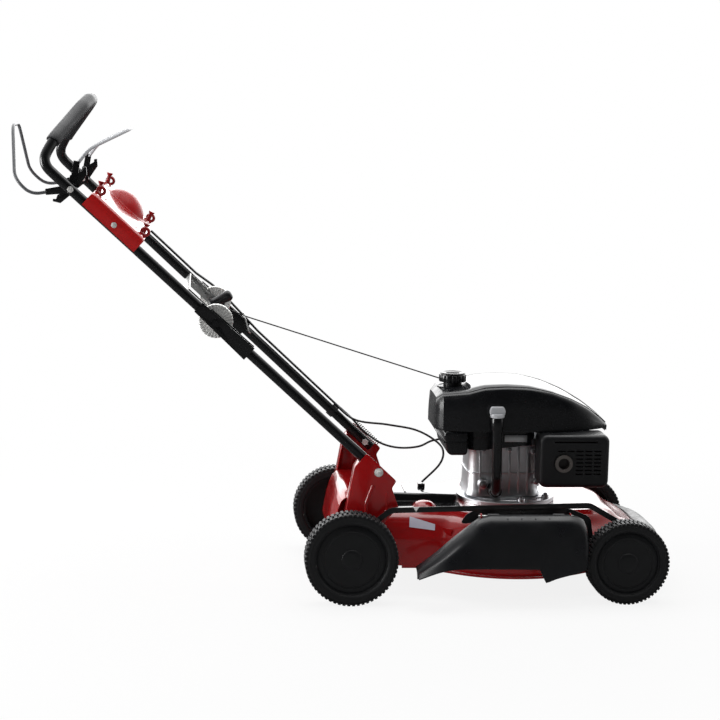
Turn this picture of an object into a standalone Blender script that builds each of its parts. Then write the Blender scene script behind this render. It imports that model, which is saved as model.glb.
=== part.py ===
"""Petrol lawn mower: self-propelled, with a 46 cm pressed-steel deck and a folding handle.

Units are metres. +X points forwards, +Z up, and +Y to the mower's left. The ground is at Z = 0.
Places are measured from the middle of the wheelbase, and one empty then puts the whole machine
over the middle of its own footprint. The handle is modelled upright, on its fold line, and leans
back with the empty that carries it.
"""
import math

import bmesh
import bpy
from mathutils import Matrix, Vector

# Running gear
REAR_AXLE_X = -0.300
FRONT_AXLE_X = 0.296
REAR_WHEEL_RADIUS = 0.100
FRONT_WHEEL_RADIUS = 0.090
WHEEL_WIDTH = 0.045
WHEEL_OUTER_FACE = 0.255
CAP_SHARE = 0.775
LUGS_ROUND_WHEEL = 12
LUG_HEIGHT = 0.0028
STUB_RADIUS = 0.006
CRANK_REACH = 0.045
CRANK_PLATE = 0.005
LEVER_BACK = 0.004
LEVER_HEIGHT = 0.040
LINK_THICKNESS = 0.004
LINK_DEPTH = 0.012
LINK_HEIGHT = 0.196
LINK_PIN_RADIUS = 0.0035
AXLE_TUBE_RADIUS = 0.014
DRIVE_SHAFT_RADIUS = 0.008
FRONT_ROD_RADIUS = 0.008

# Deck
SHEET = 0.002
DECK_TOP = 0.180
DECK_BOTTOM = 0.055
REAR_SKIRT = 0.068
CHAMBER_RADIUS = 0.240
DECK_NOSE_X = 0.360
DECK_TAIL_X = -0.305
DECK_NOSE_HALF = 0.186
DISCHARGE_REAR_X = -0.020
DISCHARGE_FRONT_X = 0.165
BELT_COVER_WIDTH = 0.100
BELT_COVER_TOP = 0.201

# Handle: distances along it are measured from the fold pivot, up the tubes
HANDLE_LEAN = math.radians(42.7)
PIVOT_X = -0.590
PIVOT_Z = 0.598
TUBE_RADIUS = 0.011
HALF_SPREAD = 0.189
SPLAY = 0.054
BRACKET_BOLT_DOWN = 0.4766
LEVER_PIVOT_UP = 0.4063
DISC_RADIUS = 0.036
GRIP_RADIUS = 0.0145

# Engine
CRANK_X = 0.066
FLANGE_RADIUS = 0.111
FLANGE_THICKNESS = 0.012
CRANKSHAFT_RADIUS = 0.011
COVER_BOTTOM = 0.348
COVER_WALL = 0.003
FUEL_NECK_X = -0.060
FUEL_CAP_TOP = 0.465
EXHAUST_X = 0.171
EXHAUST_Z = 0.285

# Blade and drive
BLADE_LENGTH = 0.455
BLADE_WIDTH = 0.055
BLADE_THICKNESS = 0.003
BLADE_Z = 0.070
BELT_Z = 0.163
ENGINE_PULLEY_RADIUS = 0.021
GEARBOX_PULLEY_RADIUS = 0.031

# Fits and drawing
GAP = 0.0003
RUN = 0.0006
MERGE = 0.00005
OVERLAP = 0.001
ROUND = 24
SMALL_ROUND = 12

# The middle of the footprint, where the machine's own frame has its origin
FOOTPRINT_X = -0.310
FOOTPRINT_Y = -0.027

RED = ((0.52, 0.012, 0.010), 0.28, 0.0)
BLACK_PAINT = ((0.012, 0.012, 0.013), 0.30, 0.0)
BLACK_PLASTIC = ((0.016, 0.016, 0.018), 0.45, 0.0)
RUBBER = ((0.018, 0.018, 0.019), 0.85, 0.0)
FOAM = ((0.020, 0.020, 0.022), 0.75, 0.0)
ZINC = ((0.62, 0.62, 0.60), 0.32, 1.0)
STEEL = ((0.45, 0.45, 0.46), 0.35, 1.0)
ALUMINIUM = ((0.66, 0.67, 0.68), 0.38, 1.0)
LIGHT_GREY = ((0.55, 0.56, 0.57), 0.50, 0.0)
BAIL_GREY = ((0.22, 0.22, 0.23), 0.40, 0.0)
BAIL_WHITE = ((0.72, 0.72, 0.72), 0.40, 0.0)

for old in list(bpy.data.objects):
    bpy.data.objects.remove(old)

MOWER = bpy.data.collections.new("petrol_lawn_mower")
TOOLS = bpy.data.collections.new("cutters")
bpy.context.scene.collection.children.link(MOWER)
bpy.context.scene.collection.children.link(TOOLS)


def new_object(name, data):
    """A new object stays in the tools' collection until it is finished as a piece."""
    obj = bpy.data.objects.new(name, data)
    TOOLS.objects.link(obj)
    obj.hide_render = True
    obj.display_type = "WIRE"
    return obj


def from_bmesh(bm, name="shape"):
    mesh = bpy.data.meshes.new(name)
    bm.to_mesh(mesh)
    bm.free()
    return new_object(name, mesh)


def as_mesh(source):
    """Turns a curve, or an object with modifiers, into one plain welded mesh object."""
    bpy.context.view_layer.update()
    evaluated = source.evaluated_get(bpy.context.evaluated_depsgraph_get())
    mesh = bpy.data.meshes.new_from_object(evaluated)
    bm = bmesh.new()
    bm.from_mesh(mesh)
    bmesh.ops.remove_doubles(bm, verts=bm.verts, dist=MERGE)
    bmesh.ops.recalc_face_normals(bm, faces=bm.faces)
    bm.to_mesh(mesh)
    bm.free()
    result = new_object(source.name, mesh)
    result.matrix_world = source.matrix_world
    bpy.data.objects.remove(source)
    return result


def box(size, centre):
    bm = bmesh.new()
    bmesh.ops.create_cube(bm, size=1.0)
    bmesh.ops.scale(bm, vec=size, verts=bm.verts)
    bmesh.ops.translate(bm, vec=centre, verts=bm.verts)
    return from_bmesh(bm)


def span_box(low, high):
    """A box given by its lowest and highest corners."""
    low, high = Vector(low), Vector(high)
    return box(high - low, (low + high) / 2)


def rod(start, end, radius, end_radius=None, segments=SMALL_ROUND):
    """A cylinder, or a cone, from one point to another."""
    start, end = Vector(start), Vector(end)
    along = end - start
    bm = bmesh.new()
    bmesh.ops.create_cone(
        bm, cap_ends=True, segments=segments, radius1=radius,
        radius2=radius if end_radius is None else end_radius, depth=along.length,
    )
    turn = Vector((0, 0, 1)).rotation_difference(along).to_matrix().to_4x4()
    bmesh.ops.transform(bm, matrix=Matrix.Translation((start + end) / 2) @ turn, verts=bm.verts)
    return from_bmesh(bm)


def turned(profile, axis="Z", centre=(0, 0, 0), segments=ROUND):
    """A solid of revolution. The profile is (radius, height) points, outer side top to bottom."""
    bm = bmesh.new()
    verts = [bm.verts.new((radius, 0, height)) for radius, height in profile]
    for a, b in zip(verts, verts[1:]):
        bm.edges.new((a, b))
    if profile[0][0] > 0 and profile[-1][0] > 0:
        bm.edges.new((verts[-1], verts[0]))
    obj = from_bmesh(bm)
    screw = obj.modifiers.new("turn", "SCREW")
    screw.steps = segments
    screw.render_steps = segments
    screw.use_merge_vertices = True
    screw.merge_threshold = MERGE
    solid = as_mesh(obj)
    turn = {"Z": Matrix(), "Y": Matrix.Rotation(-math.pi / 2, 4, "X"),
            "X": Matrix.Rotation(math.pi / 2, 4, "Y")}[axis]
    solid.data.transform(Matrix.Translation(centre) @ turn)
    return solid


def smooth_path(points, steps):
    """Points on a smooth curve through the given ones, Catmull-Rom, with the ends kept."""
    pts = [Vector(p) for p in points]
    pts = [2 * pts[0] - pts[1]] + pts + [2 * pts[-1] - pts[-2]]
    path = []
    for a, b, c, d in zip(pts, pts[1:], pts[2:], pts[3:]):
        for step in range(steps):
            t = step / steps
            path.append(0.5 * (2 * b + (c - a) * t + (2 * a - 5 * b + 4 * c - d) * t ** 2
                               + (3 * b - a - 3 * c + d) * t ** 3))
    path.append(pts[-2])
    return path


def rounded_path(points, radius, steps=5):
    """Straight runs between the points, with each corner turned at the given radius."""
    pts = [Vector(p) for p in points]
    path = [pts[0]]
    for a, corner, b in zip(pts, pts[1:], pts[2:]):
        back, ahead = (a - corner).normalized(), (b - corner).normalized()
        half = back.angle(ahead) / 2
        reach = min(radius / math.tan(half), (a - corner).length * 0.49, (b - corner).length * 0.49)
        bend = reach * math.tan(half)
        centre = corner + (back + ahead).normalized() * bend / math.sin(half)
        first, last = corner + back * reach - centre, corner + ahead * reach - centre
        sweep = first.angle(last)
        for step in range(steps + 1):
            t = step / steps
            blend = (first * math.sin((1 - t) * sweep) + last * math.sin(t * sweep)) / math.sin(sweep)
            path.append(centre + blend)
    path.append(pts[-1])
    return path


def tube(path, radius, resolution=2):
    """A round bar or tube along the path, with its ends closed."""
    curve = bpy.data.curves.new("tube", "CURVE")
    curve.dimensions = "3D"
    curve.bevel_depth = radius
    curve.bevel_resolution = resolution
    curve.use_fill_caps = True
    spline = curve.splines.new("POLY")
    spline.points.add(len(path) - 1)
    for point, place in zip(spline.points, path):
        point.co = (*place, 1)
    return as_mesh(new_object("tube", curve))


def plate(outlines, thickness, plane="XZ", at=0.0):
    """A flat plate of the given outlines, where inner ones are holes, centred on the plane."""
    curve = bpy.data.curves.new("plate", "CURVE")
    curve.dimensions = "2D"
    curve.fill_mode = "BOTH"
    curve.extrude = thickness / 2
    for outline in outlines:
        spline = curve.splines.new("POLY")
        spline.points.add(len(outline) - 1)
        for point, (x, y) in zip(spline.points, outline):
            point.co = (x, y, 0, 1)
        spline.use_cyclic_u = True
    solid = as_mesh(new_object("plate", curve))
    turn = {"XY": Matrix(), "XZ": Matrix.Rotation(math.pi / 2, 4, "X"),
            "YZ": Matrix(((0, 0, 1, 0), (1, 0, 0, 0), (0, 1, 0, 0), (0, 0, 0, 1)))}[plane]
    shift = {"XY": (0, 0, at), "XZ": (0, at, 0), "YZ": (at, 0, 0)}[plane]
    solid.data.transform(Matrix.Translation(shift) @ turn)
    return solid


def circle(radius, centre=(0, 0), segments=SMALL_ROUND, start=0.0, sweep=math.tau):
    """Points round a circle, or along an arc of it when the sweep is less than a full turn."""
    count = segments if sweep >= math.tau else segments + 1
    return [(centre[0] + radius * math.cos(start + sweep * k / segments),
             centre[1] + radius * math.sin(start + sweep * k / segments)) for k in range(count)]


def rounded_rect(low, high, radius, steps=4):
    """A rectangle's outline with round corners."""
    (x0, y0), (x1, y1) = low, high
    corners = [((x1 - radius, y1 - radius), 0), ((x0 + radius, y1 - radius), 1),
               ((x0 + radius, y0 + radius), 2), ((x1 - radius, y0 + radius), 3)]
    points = []
    for centre, quarter in corners:
        points += circle(radius, centre, steps, quarter * math.pi / 2, math.pi / 2)
    return points


def loft(rings, close_start=True, close_end=True, cyclic=True):
    """A skin through unlike sections that have the same number of points."""
    bm = bmesh.new()
    rows = [[bm.verts.new(p) for p in ring] for ring in rings]
    count = len(rows[0])
    for low, high in zip(rows, rows[1:]):
        for k in range(count if cyclic else count - 1):
            j = (k + 1) % count
            bm.faces.new((low[k], low[j], high[j], high[k]))
    if close_start:
        bm.faces.new(list(reversed(rows[0])))
    if close_end:
        bm.faces.new(rows[-1])
    bmesh.ops.recalc_face_normals(bm, faces=bm.faces)
    return from_bmesh(bm)


def thicken(obj, thickness, offset=-1.0):
    solidify = obj.modifiers.new("sheet", "SOLIDIFY")
    solidify.thickness = thickness
    solidify.offset = offset
    solidify.use_even_offset = True
    return obj


def soften(obj, width, segments=2, angle=35):
    bevel = obj.modifiers.new("edges", "BEVEL")
    bevel.width = width
    bevel.segments = segments
    bevel.limit_method = "ANGLE"
    bevel.angle_limit = math.radians(angle)
    return obj


def boolean(obj, tool, operation):
    step = obj.modifiers.new(operation.lower(), "BOOLEAN")
    step.operation = operation
    step.solver = "EXACT"
    step.object = tool
    return obj


def cut(obj, *tools):
    for tool in tools:
        boolean(obj, tool, "DIFFERENCE")
    return obj


def join(obj, *tools):
    for tool in tools:
        boolean(obj, tool, "UNION")
    return obj


def mirrored(obj):
    """The same shape on the other side of the machine's middle plane."""
    bm = bmesh.new()
    bm.from_mesh(obj.data)
    bmesh.ops.scale(bm, vec=(1, -1, 1), verts=bm.verts)
    bmesh.ops.reverse_faces(bm, faces=bm.faces)
    return from_bmesh(bm)


def adopt(obj, parent):
    """Puts an object and the tools that shape it under one parent."""
    obj.parent = parent
    for step in obj.modifiers:
        if step.type == "BOOLEAN" and step.object.parent is None:
            adopt(step.object, parent)


def finish(obj, name, paint, parent, smooth=35):
    """Names a piece, gives it its own material, and moves it to the model's collection."""
    colour, roughness, metallic = paint
    obj.name = name
    obj.data.name = name
    look = bpy.data.materials.new(name)
    look.use_nodes = True
    shader = look.node_tree.nodes["Principled BSDF"]
    shader.inputs["Base Color"].default_value = (*colour, 1)
    shader.inputs["Roughness"].default_value = roughness
    shader.inputs["Metallic"].default_value = metallic
    look.diffuse_color = (*colour, 1)
    obj.data.materials.clear()
    obj.data.materials.append(look)
    obj.data.shade_smooth()
    obj.data.set_sharp_from_angle(angle=math.radians(smooth))
    TOOLS.objects.unlink(obj)
    MOWER.objects.link(obj)
    obj.hide_render = False
    obj.display_type = "TEXTURED"
    adopt(obj, parent)
    return obj


def axis_empty(name, place, parent, lean=0.0):
    """An empty on a joint's axis, which carries the pieces that move with it."""
    empty = bpy.data.objects.new(name, None)
    MOWER.objects.link(empty)
    empty.empty_display_size = 0.05
    empty.location = place
    empty.rotation_euler = (0, lean, 0)
    empty.parent = parent
    return empty


def tube_y(up):
    """How far a handle tube's centre line lies from the middle plane, at a height up the handle."""
    return HALF_SPREAD + SPLAY * up


def hex_bolt(centre, towards, across, head, washer=0.0):
    """A hexagon head on a washer, pointing along one axis."""
    centre, towards = Vector(centre), Vector(towards).normalized()
    parts = rod(centre + towards * washer, centre + towards * (washer + head), across / math.sqrt(3),
                segments=6)
    if washer:
        disc = rod(centre, centre + towards * (washer + OVERLAP / 2), across * 0.75, segments=10)
        parts = join(parts, disc)
    return as_mesh(parts)


# The wheels

WHEEL_INNER_FACE = WHEEL_OUTER_FACE - WHEEL_WIDTH
CRANK_OUTER = WHEEL_INNER_FACE - 0.003
CRANK_INNER = CRANK_OUTER - CRANK_PLATE
LINK_OUTER = CRANK_INNER - RUN
LINK_INNER = LINK_OUTER - LINK_THICKNESS


def tyre(radius):
    """A solid rubber tyre: two rows of staggered lugs either side of a plain middle band."""
    count = 2 * LUGS_ROUND_WHEEL
    seat = radius * CAP_SHARE
    base = radius - LUG_HEIGHT
    half = WHEEL_WIDTH / 2
    band = 0.0015
    profile = [(seat, -half + 0.003), (base, -half), (base, -band), (base, band), (base, half),
               (seat, half - 0.003)]
    bm = bmesh.new()
    stretch = 1 / math.cos(math.pi / count)
    rings = []
    for k in range(count):
        angle = math.tau * (k + 0.5) / count - math.pi / 2
        rings.append([bm.verts.new((r * stretch * math.cos(angle), y, r * stretch * math.sin(angle)))
                      for r, y in profile])
    rows = {0: [], 1: []}
    for k in range(count):
        a, b = rings[k], rings[(k + 1) % count]
        for j in range(len(profile)):
            i = (j + 1) % len(profile)
            face = bm.faces.new((a[j], a[i], b[i], b[j]))
            if (j, k % 2) in ((1, 0), (3, 1)):
                rows[k % 2].append(face)
    bmesh.ops.recalc_face_normals(bm, faces=bm.faces)
    for row in rows.values():
        for face in row:
            made = bmesh.ops.extrude_face_region(bm, geom=[face])["geom"]
            bmesh.ops.delete(bm, geom=[face], context="FACES_ONLY")
            for vert in (g for g in made if isinstance(g, bmesh.types.BMVert)):
                reach = math.hypot(vert.co.x, vert.co.z)
                grow = 1 + LUG_HEIGHT * stretch / reach
                vert.co.x *= grow
                vert.co.z *= grow
    return from_bmesh(bm)


def rim(radius):
    """A moulded rim: smooth domed cover outside, and a hub and gear recess inside."""
    seat = radius * CAP_SHARE - GAP
    half = WHEEL_WIDTH / 2
    hub = 0.014
    bore = STUB_RADIUS + RUN
    face = half - 0.004
    profile = [
        (0.0, face + 0.003), (seat * 0.6, face + 0.0015), (seat - 0.006, face - 0.002),
        (seat, half - 0.004), (seat, -half + 0.003), (seat - 0.0045, -half + 0.003),
        (seat - 0.0045, face - 0.006), (hub, face - 0.008), (hub, -half + 0.0045),
        (bore, -half + 0.0045), (bore, face - 0.004), (0.0, face - 0.004),
    ]
    return turned(profile, "Y", segments=20)


def make_wheel(name, radius, side, carrier, stub):
    """One wheel on its stub: the tyre and the rim turn together about the stub's axis."""
    axis = axis_empty(name + "_axis", (stub[0], side * (WHEEL_OUTER_FACE - WHEEL_WIDTH / 2), stub[1]), carrier)
    rubber = tyre(radius)
    finish(rubber, name + "_tyre", RUBBER, axis, smooth=25)
    moulding = rim(radius)
    if side < 0:
        moulding = mirror_and_drop(moulding)
    finish(moulding, name + "_rim", BLACK_PLASTIC, axis)


def mirror_and_drop(obj):
    other = mirrored(obj)
    bpy.data.objects.remove(obj)
    return other


def crank_outline(reach, lever):
    """The crank plate's side view, round its pivot: an arm back to the stub, and a lever up."""
    pivot, stub = circle(0.017, (0, 0), 7, -1.9, 2.6), circle(0.012, (-reach, 0), 5, 1.75, 2.9)
    if not lever:
        return [circle(0.017, (0, 0), 8, -1.7, 3.4), stub]
    pin = circle(0.009, (-LEVER_BACK, LEVER_HEIGHT), 5, 0.2, 2.7)
    return [pivot, pin, stub]


def crank_plate(side, lever):
    outline = [point for arc in crank_outline(CRANK_REACH, lever) for point in arc]
    middle = side * (CRANK_INNER + CRANK_PLATE / 2)
    body = plate([outline], CRANK_PLATE, "XZ", middle)
    stub = rod((-CRANK_REACH, side * (CRANK_OUTER - OVERLAP), 0),
               (-CRANK_REACH, side * (WHEEL_OUTER_FACE - 0.012), 0), STUB_RADIUS)
    shoulder = rod((-CRANK_REACH, side * (CRANK_OUTER - OVERLAP), 0),
                   (-CRANK_REACH, side * (WHEEL_INNER_FACE + 0.0015 - GAP), 0), 0.010)
    join(body, stub, shoulder)
    if lever:
        pin = rod((-LEVER_BACK, side * (CRANK_INNER + OVERLAP), LEVER_HEIGHT),
                  (-LEVER_BACK, side * (LINK_INNER - 0.002), LEVER_HEIGHT), LINK_PIN_RADIUS)
        join(body, pin)
    return body


def make_rear_axle(mower):
    """The rear cranks are joined by a tube that turns in the brackets, round the drive shaft."""
    pivot = axis_empty("rear_axle_axis", (REAR_AXLE_X + CRANK_REACH, 0, REAR_WHEEL_RADIUS), mower)
    right, left = crank_plate(-1, True), crank_plate(1, False)
    across = rod((0, -CRANK_OUTER + OVERLAP, 0), (0, CRANK_OUTER - OVERLAP, 0), AXLE_TUBE_RADIUS,
                 segments=16)
    join(across, right, left)
    bore = rod((0, -CRANK_OUTER - 0.01, 0), (0, CRANK_OUTER + 0.01, 0), DRIVE_SHAFT_RADIUS + RUN)
    cut(across, bore)
    finish(across, "rear_axle_cranks", BLACK_PAINT, pivot)
    make_wheel("rear_right", REAR_WHEEL_RADIUS, -1, pivot, (-CRANK_REACH, 0))
    make_wheel("rear_left", REAR_WHEEL_RADIUS, 1, pivot, (-CRANK_REACH, 0))
    return pivot


def make_front_axle(mower):
    """The front cranks are joined by a rod under the nose guard, in front of the blade chamber."""
    pivot = axis_empty("front_axle_axis", (FRONT_AXLE_X + CRANK_REACH, 0, FRONT_WHEEL_RADIUS), mower)
    right, left = crank_plate(-1, True), crank_plate(1, False)
    across = rod((0, -CRANK_OUTER + OVERLAP, 0), (0, CRANK_OUTER - OVERLAP, 0), FRONT_ROD_RADIUS)
    join(across, right, left)
    finish(across, "front_axle_cranks", BLACK_PAINT, pivot)
    make_wheel("front_right", FRONT_WHEEL_RADIUS, -1, pivot, (-CRANK_REACH, 0))
    make_wheel("front_left", FRONT_WHEEL_RADIUS, 1, pivot, (-CRANK_REACH, 0))


def make_height_link(rear_pivot):
    """The long bar on the right side that joins the cranks: it is gripped to change the cut."""
    span = (FRONT_AXLE_X - REAR_AXLE_X, FRONT_WHEEL_RADIUS - REAR_WHEEL_RADIUS)
    pin = axis_empty("height_link_axis", (-LEVER_BACK, 0, LEVER_HEIGHT), rear_pivot)
    rise = LINK_HEIGHT - REAR_WHEEL_RADIUS - LEVER_HEIGHT
    line = [(0, 0), (0.006, rise * 0.45), (0.045, rise), (span[0] - 0.118, rise + 0.010),
            (span[0] - 0.052, rise - 0.028), (span[0], span[1])]
    path = rounded_path([(x, 0, z) for x, z in line], 0.030, 4)
    half = LINK_DEPTH / 2
    upper, lower = [], []
    for k, point in enumerate(path):
        ahead, behind = path[min(k + 1, len(path) - 1)], path[max(k - 1, 0)]
        run = (ahead - behind).normalized()
        upper.append((point.x - run.z * half, point.z + run.x * half))
        lower.append((point.x + run.z * half, point.z - run.x * half))
    outline = upper + list(reversed(lower))
    body = plate([outline], LINK_THICKNESS, "XZ", -(LINK_INNER + LINK_THICKNESS / 2))
    for x, z in (line[0], line[-1]):
        eye = rod((x, -LINK_INNER - 0.0003, z), (x, -LINK_OUTER + 0.0003, z), 0.0088)
        join(body, eye)
    for x, z in (line[0], line[-1]):
        hole = rod((x, -LINK_INNER + 0.005, z), (x, -LINK_OUTER - 0.005, z), LINK_PIN_RADIUS + RUN)
        cut(body, hole)
    finish(body, "height_link", BLACK_PAINT, pin)


# The deck

DEFLECTOR_HINGE = (-(CHAMBER_RADIUS - 0.004), 0.1915)
EAR_SHEET = 0.003
EAR_PLACES = (DISCHARGE_REAR_X - 0.004, DISCHARGE_FRONT_X + 0.004)
HINGE_ROD = 0.003
NOSE_CORNER = 5
BRACKET_PLATE_IN = tube_y(-BRACKET_BOLT_DOWN + 0.05) + TUBE_RADIUS + GAP
BRACKET_SHEET = 0.0025
DECK_TAIL_HALF = BRACKET_PLATE_IN - GAP
REAR_PIVOT = (REAR_AXLE_X + CRANK_REACH, REAR_WHEEL_RADIUS)
FRONT_PIVOT = (FRONT_AXLE_X + CRANK_REACH, FRONT_WHEEL_RADIUS)


DECK_LEVELS = (
    (DECK_BOTTOM, -0.005, -0.004), (DECK_BOTTOM + 0.009, 0.0, 0.0), (0.122, 0.001, 0.001),
    (0.136, 0.005, 0.013), (0.154, 0.014, 0.050), (0.171, 0.031, 0.071), (DECK_TOP, 0.057, 0.095),
)


def deck_reach(angle, side, front):
    """The deck's plan outline from the middle: blade chamber, tail and nose, blended together."""
    c, s = math.cos(angle), math.sin(angle)
    chamber = CRANK_X * c + math.sqrt(CHAMBER_RADIUS ** 2 - (CRANK_X * s) ** 2)
    length, half = (DECK_NOSE_X, DECK_NOSE_HALF) if c > 0 else (-DECK_TAIL_X, DECK_TAIL_HALF)
    corner = NOSE_CORNER if c > 0 else 16
    body = ((abs(c) / length) ** corner + (abs(s) / half) ** corner) ** (-1 / corner)
    blend = 40
    inset = side + (front - side) * max(c, 0) ** 2
    return (chamber ** blend + body ** blend) ** (1 / blend) - inset


def deck_shell():
    """Pressed sheet with a rolled rim, upright skirt, round shoulder and flat top."""
    segments = 46
    rings = []
    for height, side, front in DECK_LEVELS:
        ring = []
        for k in range(segments):
            angle = math.tau * k / segments
            reach = deck_reach(angle, side, front)
            ring.append((reach * math.cos(angle), reach * math.sin(angle), height))
        rings.append(ring)
    return thicken(loft(rings, close_start=False), SHEET)


def make_deck(mower):
    """The pressed-steel deck, with its openings, axle bearings and the seat for the engine."""
    deck = as_mesh(deck_shell())
    wide = DECK_TAIL_HALF + 0.05
    cut(deck, span_box((DECK_TAIL_X - 0.05, -wide, 0), (REAR_AXLE_X + 0.115, wide, REAR_SKIRT)))
    cut(deck, rod((CRANK_X, 0, DECK_TOP - 0.02), (CRANK_X, 0, DECK_TOP + 0.02), 0.052, segments=ROUND))
    cut(deck, span_box((REAR_PIVOT[0] - 0.030, -0.040, DECK_TOP - 0.02), (-0.070, 0.040, DECK_TOP + 0.01)))
    discharge = span_box((DISCHARGE_REAR_X, -CHAMBER_RADIUS - 0.060, DECK_BOTTOM + 0.022),
                         (DISCHARGE_FRONT_X, -CHAMBER_RADIUS + 0.090, DECK_TOP - 0.034))
    cut(deck, discharge)
    chute = span_box((DECK_TAIL_X - 0.05, -0.115, DECK_TOP - 0.062),
                     (REAR_PIVOT[0] - 0.020, 0.115, DECK_TOP + 0.05))
    cut(deck, chute)
    bearing = rod((REAR_PIVOT[0], -wide, REAR_PIVOT[1]), (REAR_PIVOT[0], wide, REAR_PIVOT[1]),
                  AXLE_TUBE_RADIUS + RUN, segments=16)
    cut(deck, bearing)
    join(deck, baffle())
    for x in EAR_PLACES:
        join(deck, deflector_ear(x))
    y0, z0 = DEFLECTOR_HINGE
    cut(deck, rod((DISCHARGE_REAR_X - 0.02, y0, z0), (DISCHARGE_FRONT_X + 0.02, y0, z0), HINGE_ROD + RUN))
    cut(deck, rod((FRONT_PIVOT[0], -wide, FRONT_PIVOT[1]), (FRONT_PIVOT[0], wide, FRONT_PIVOT[1]),
                  FRONT_ROD_RADIUS + RUN))
    finish(deck, "deck_shell", RED, mower)


def deflector_ear(x):
    """A tab welded to the deck's shoulder, which holds one end of the deflector's hinge rod."""
    y0, z0 = DEFLECTOR_HINGE
    outline = [(y0 - 0.005, z0 - 0.006), (y0 - 0.005, z0 + 0.004), (y0 - 0.0035, z0 + 0.006),
               (y0 + 0.004, z0 + 0.006), (y0 + 0.008, z0 - 0.002), (y0 + 0.030, z0 - 0.018),
               (y0 + 0.060, z0 - 0.028), (y0 + 0.060, z0 - 0.042), (y0 + 0.026, z0 - 0.044)]
    return plate([outline], EAR_SHEET, "YZ", x)


def baffle():
    """A curved wall that closes the blade's circle behind, under the drive belt."""
    radius = CHAMBER_RADIUS - 0.004
    half = math.asin(min((DECK_TAIL_HALF + 0.009) / radius, 1.0))
    arc = circle(radius, (CRANK_X, 0), 12, math.pi - half, 2 * half)
    inner = circle(radius - SHEET, (CRANK_X, 0), 12, math.pi - half, 2 * half)
    low, high = DECK_BOTTOM + 0.014, BELT_Z - 0.012
    return plate([arc + list(reversed(inner))], high - low, "XY", (low + high) / 2)


def bracket_outline():
    """The handle bracket's side view: a tall plate over the tail, with an ear round the axle tube."""
    x, z = REAR_PIVOT
    top = (PIVOT_X + BRACKET_BOLT_DOWN * math.cos(HANDLE_LEAN),
           PIVOT_Z - BRACKET_BOLT_DOWN * math.sin(HANDLE_LEAN))
    ear = circle(0.024, (x, z), 8, math.pi, math.pi)
    return [(x - 0.055, 0.182), (x - 0.037, 0.285), (top[0] - 0.040, top[1] + 0.026),
            (top[0] - 0.026, top[1] + 0.041), (top[0] + 0.038, top[1] - 0.019), (top[0] + 0.030, top[1] - 0.036),
            (top[0] + 0.044, top[1] - 0.077), (top[0] + 0.020, top[1] - 0.104), (x + 0.024, 0.140)] + \
        list(reversed(ear)) + [(x - 0.060, 0.150)]


def handle_bracket():
    """The left bracket: an outer plate, with a flange turned in along its rear edge."""
    outline = bracket_outline()
    middle = BRACKET_PLATE_IN + BRACKET_SHEET / 2
    body = plate([outline], BRACKET_SHEET, "XZ", middle)
    rear, fold, corner = outline[0], outline[1], outline[2]
    tip = (fold[0] + 0.72 * (corner[0] - fold[0]), fold[1] + 0.72 * (corner[1] - fold[1]))
    strip = [rear, fold, tip, (tip[0] + 0.0025, tip[1] - 0.0018), (fold[0] + 0.0025, fold[1]), (rear[0] + 0.0025, rear[1])]
    inner = BRACKET_PLATE_IN - 0.034
    flange = plate([strip], BRACKET_PLATE_IN + OVERLAP - inner, "XZ", (BRACKET_PLATE_IN + OVERLAP + inner) / 2)
    join(body, flange)
    cut(body, rod((REAR_PIVOT[0], 0, REAR_PIVOT[1]), (REAR_PIVOT[0], 0.3, REAR_PIVOT[1]), AXLE_TUBE_RADIUS + RUN,
                  segments=16))
    x = PIVOT_X + BRACKET_BOLT_DOWN * math.cos(HANDLE_LEAN)
    z = PIVOT_Z - BRACKET_BOLT_DOWN * math.sin(HANDLE_LEAN)
    cut(body, rod((x, 0.1, z), (x, 0.3, z), BOLT_RADIUS + RUN, segments=8))
    return body


def make_brackets(mower):
    left = as_mesh(handle_bracket())
    right = mirrored(left)
    finish(left, "handle_bracket_left", RED, mower)
    finish(right, "handle_bracket_right", RED, mower)


FLAP_HINGE = (-0.2635, 0.2085)


def make_rear_chute(mower):
    """A sheet hood between the brackets, over the grass opening, that the rear flap closes."""
    half, front, back = 0.128, -0.206, FLAP_HINGE[0] + 0.0066
    top_back, top_front, foot = 0.2115, BELT_COVER_TOP + 0.0035, DECK_TOP + GAP
    roof = [(front, top_front), (back, top_back), (back, top_back - SHEET), (front, top_front - SHEET)]
    body = plate([roof], 2 * half, "XZ", 0)
    cheek = [(front, foot), (front, top_front - OVERLAP / 2), (back, top_back - OVERLAP / 2), (back, foot)]
    for side in (-1, 1):
        join(body, plate([cheek], SHEET, "XZ", side * (half - SHEET / 2)))
    finish(body, "rear_chute", RED, mower)


def make_rear_flap(mower):
    """The sprung flap that closes the chute behind: a bent panel hung on a rod between the brackets."""
    hinge, half = FLAP_HINGE, 0.138
    axis = axis_empty("rear_flap_axis", (hinge[0], 0, hinge[1]), mower)
    path = [(-0.003, 0.0035), (-0.034, 0.0035), (-0.045, 0.0010), (-0.0525, -0.0065), (-0.0570, -0.0160),
            (-0.0665, -0.0480), (-0.0745, -0.0935)]
    inner = [(-0.003, 0.0015), (-0.0335, 0.0015), (-0.0440, -0.0008), (-0.0508, -0.0077), (-0.0551, -0.0166),
             (-0.0645, -0.0484), (-0.0725, -0.0939)]
    panel = plate([path + list(reversed(inner))], 2 * half, "XZ", 0)
    for side in (-1, 0, 1):
        start = side * (half - 0.016)
        knuckle = rod((0, start - 0.014, 0), (0, start + 0.014, 0), 0.0060)
        join(panel, knuckle)
    cut(panel, rod((0, -half - 0.01, 0), (0, half + 0.01, 0), HINGE_ROD + RUN))
    finish(panel, "rear_flap", RED, axis)
    pin = rod((hinge[0], -BRACKET_PLATE_IN + GAP, hinge[1]), (hinge[0], BRACKET_PLATE_IN - GAP, hinge[1]), HINGE_ROD)
    return pin


# The side discharge deflector

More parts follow.
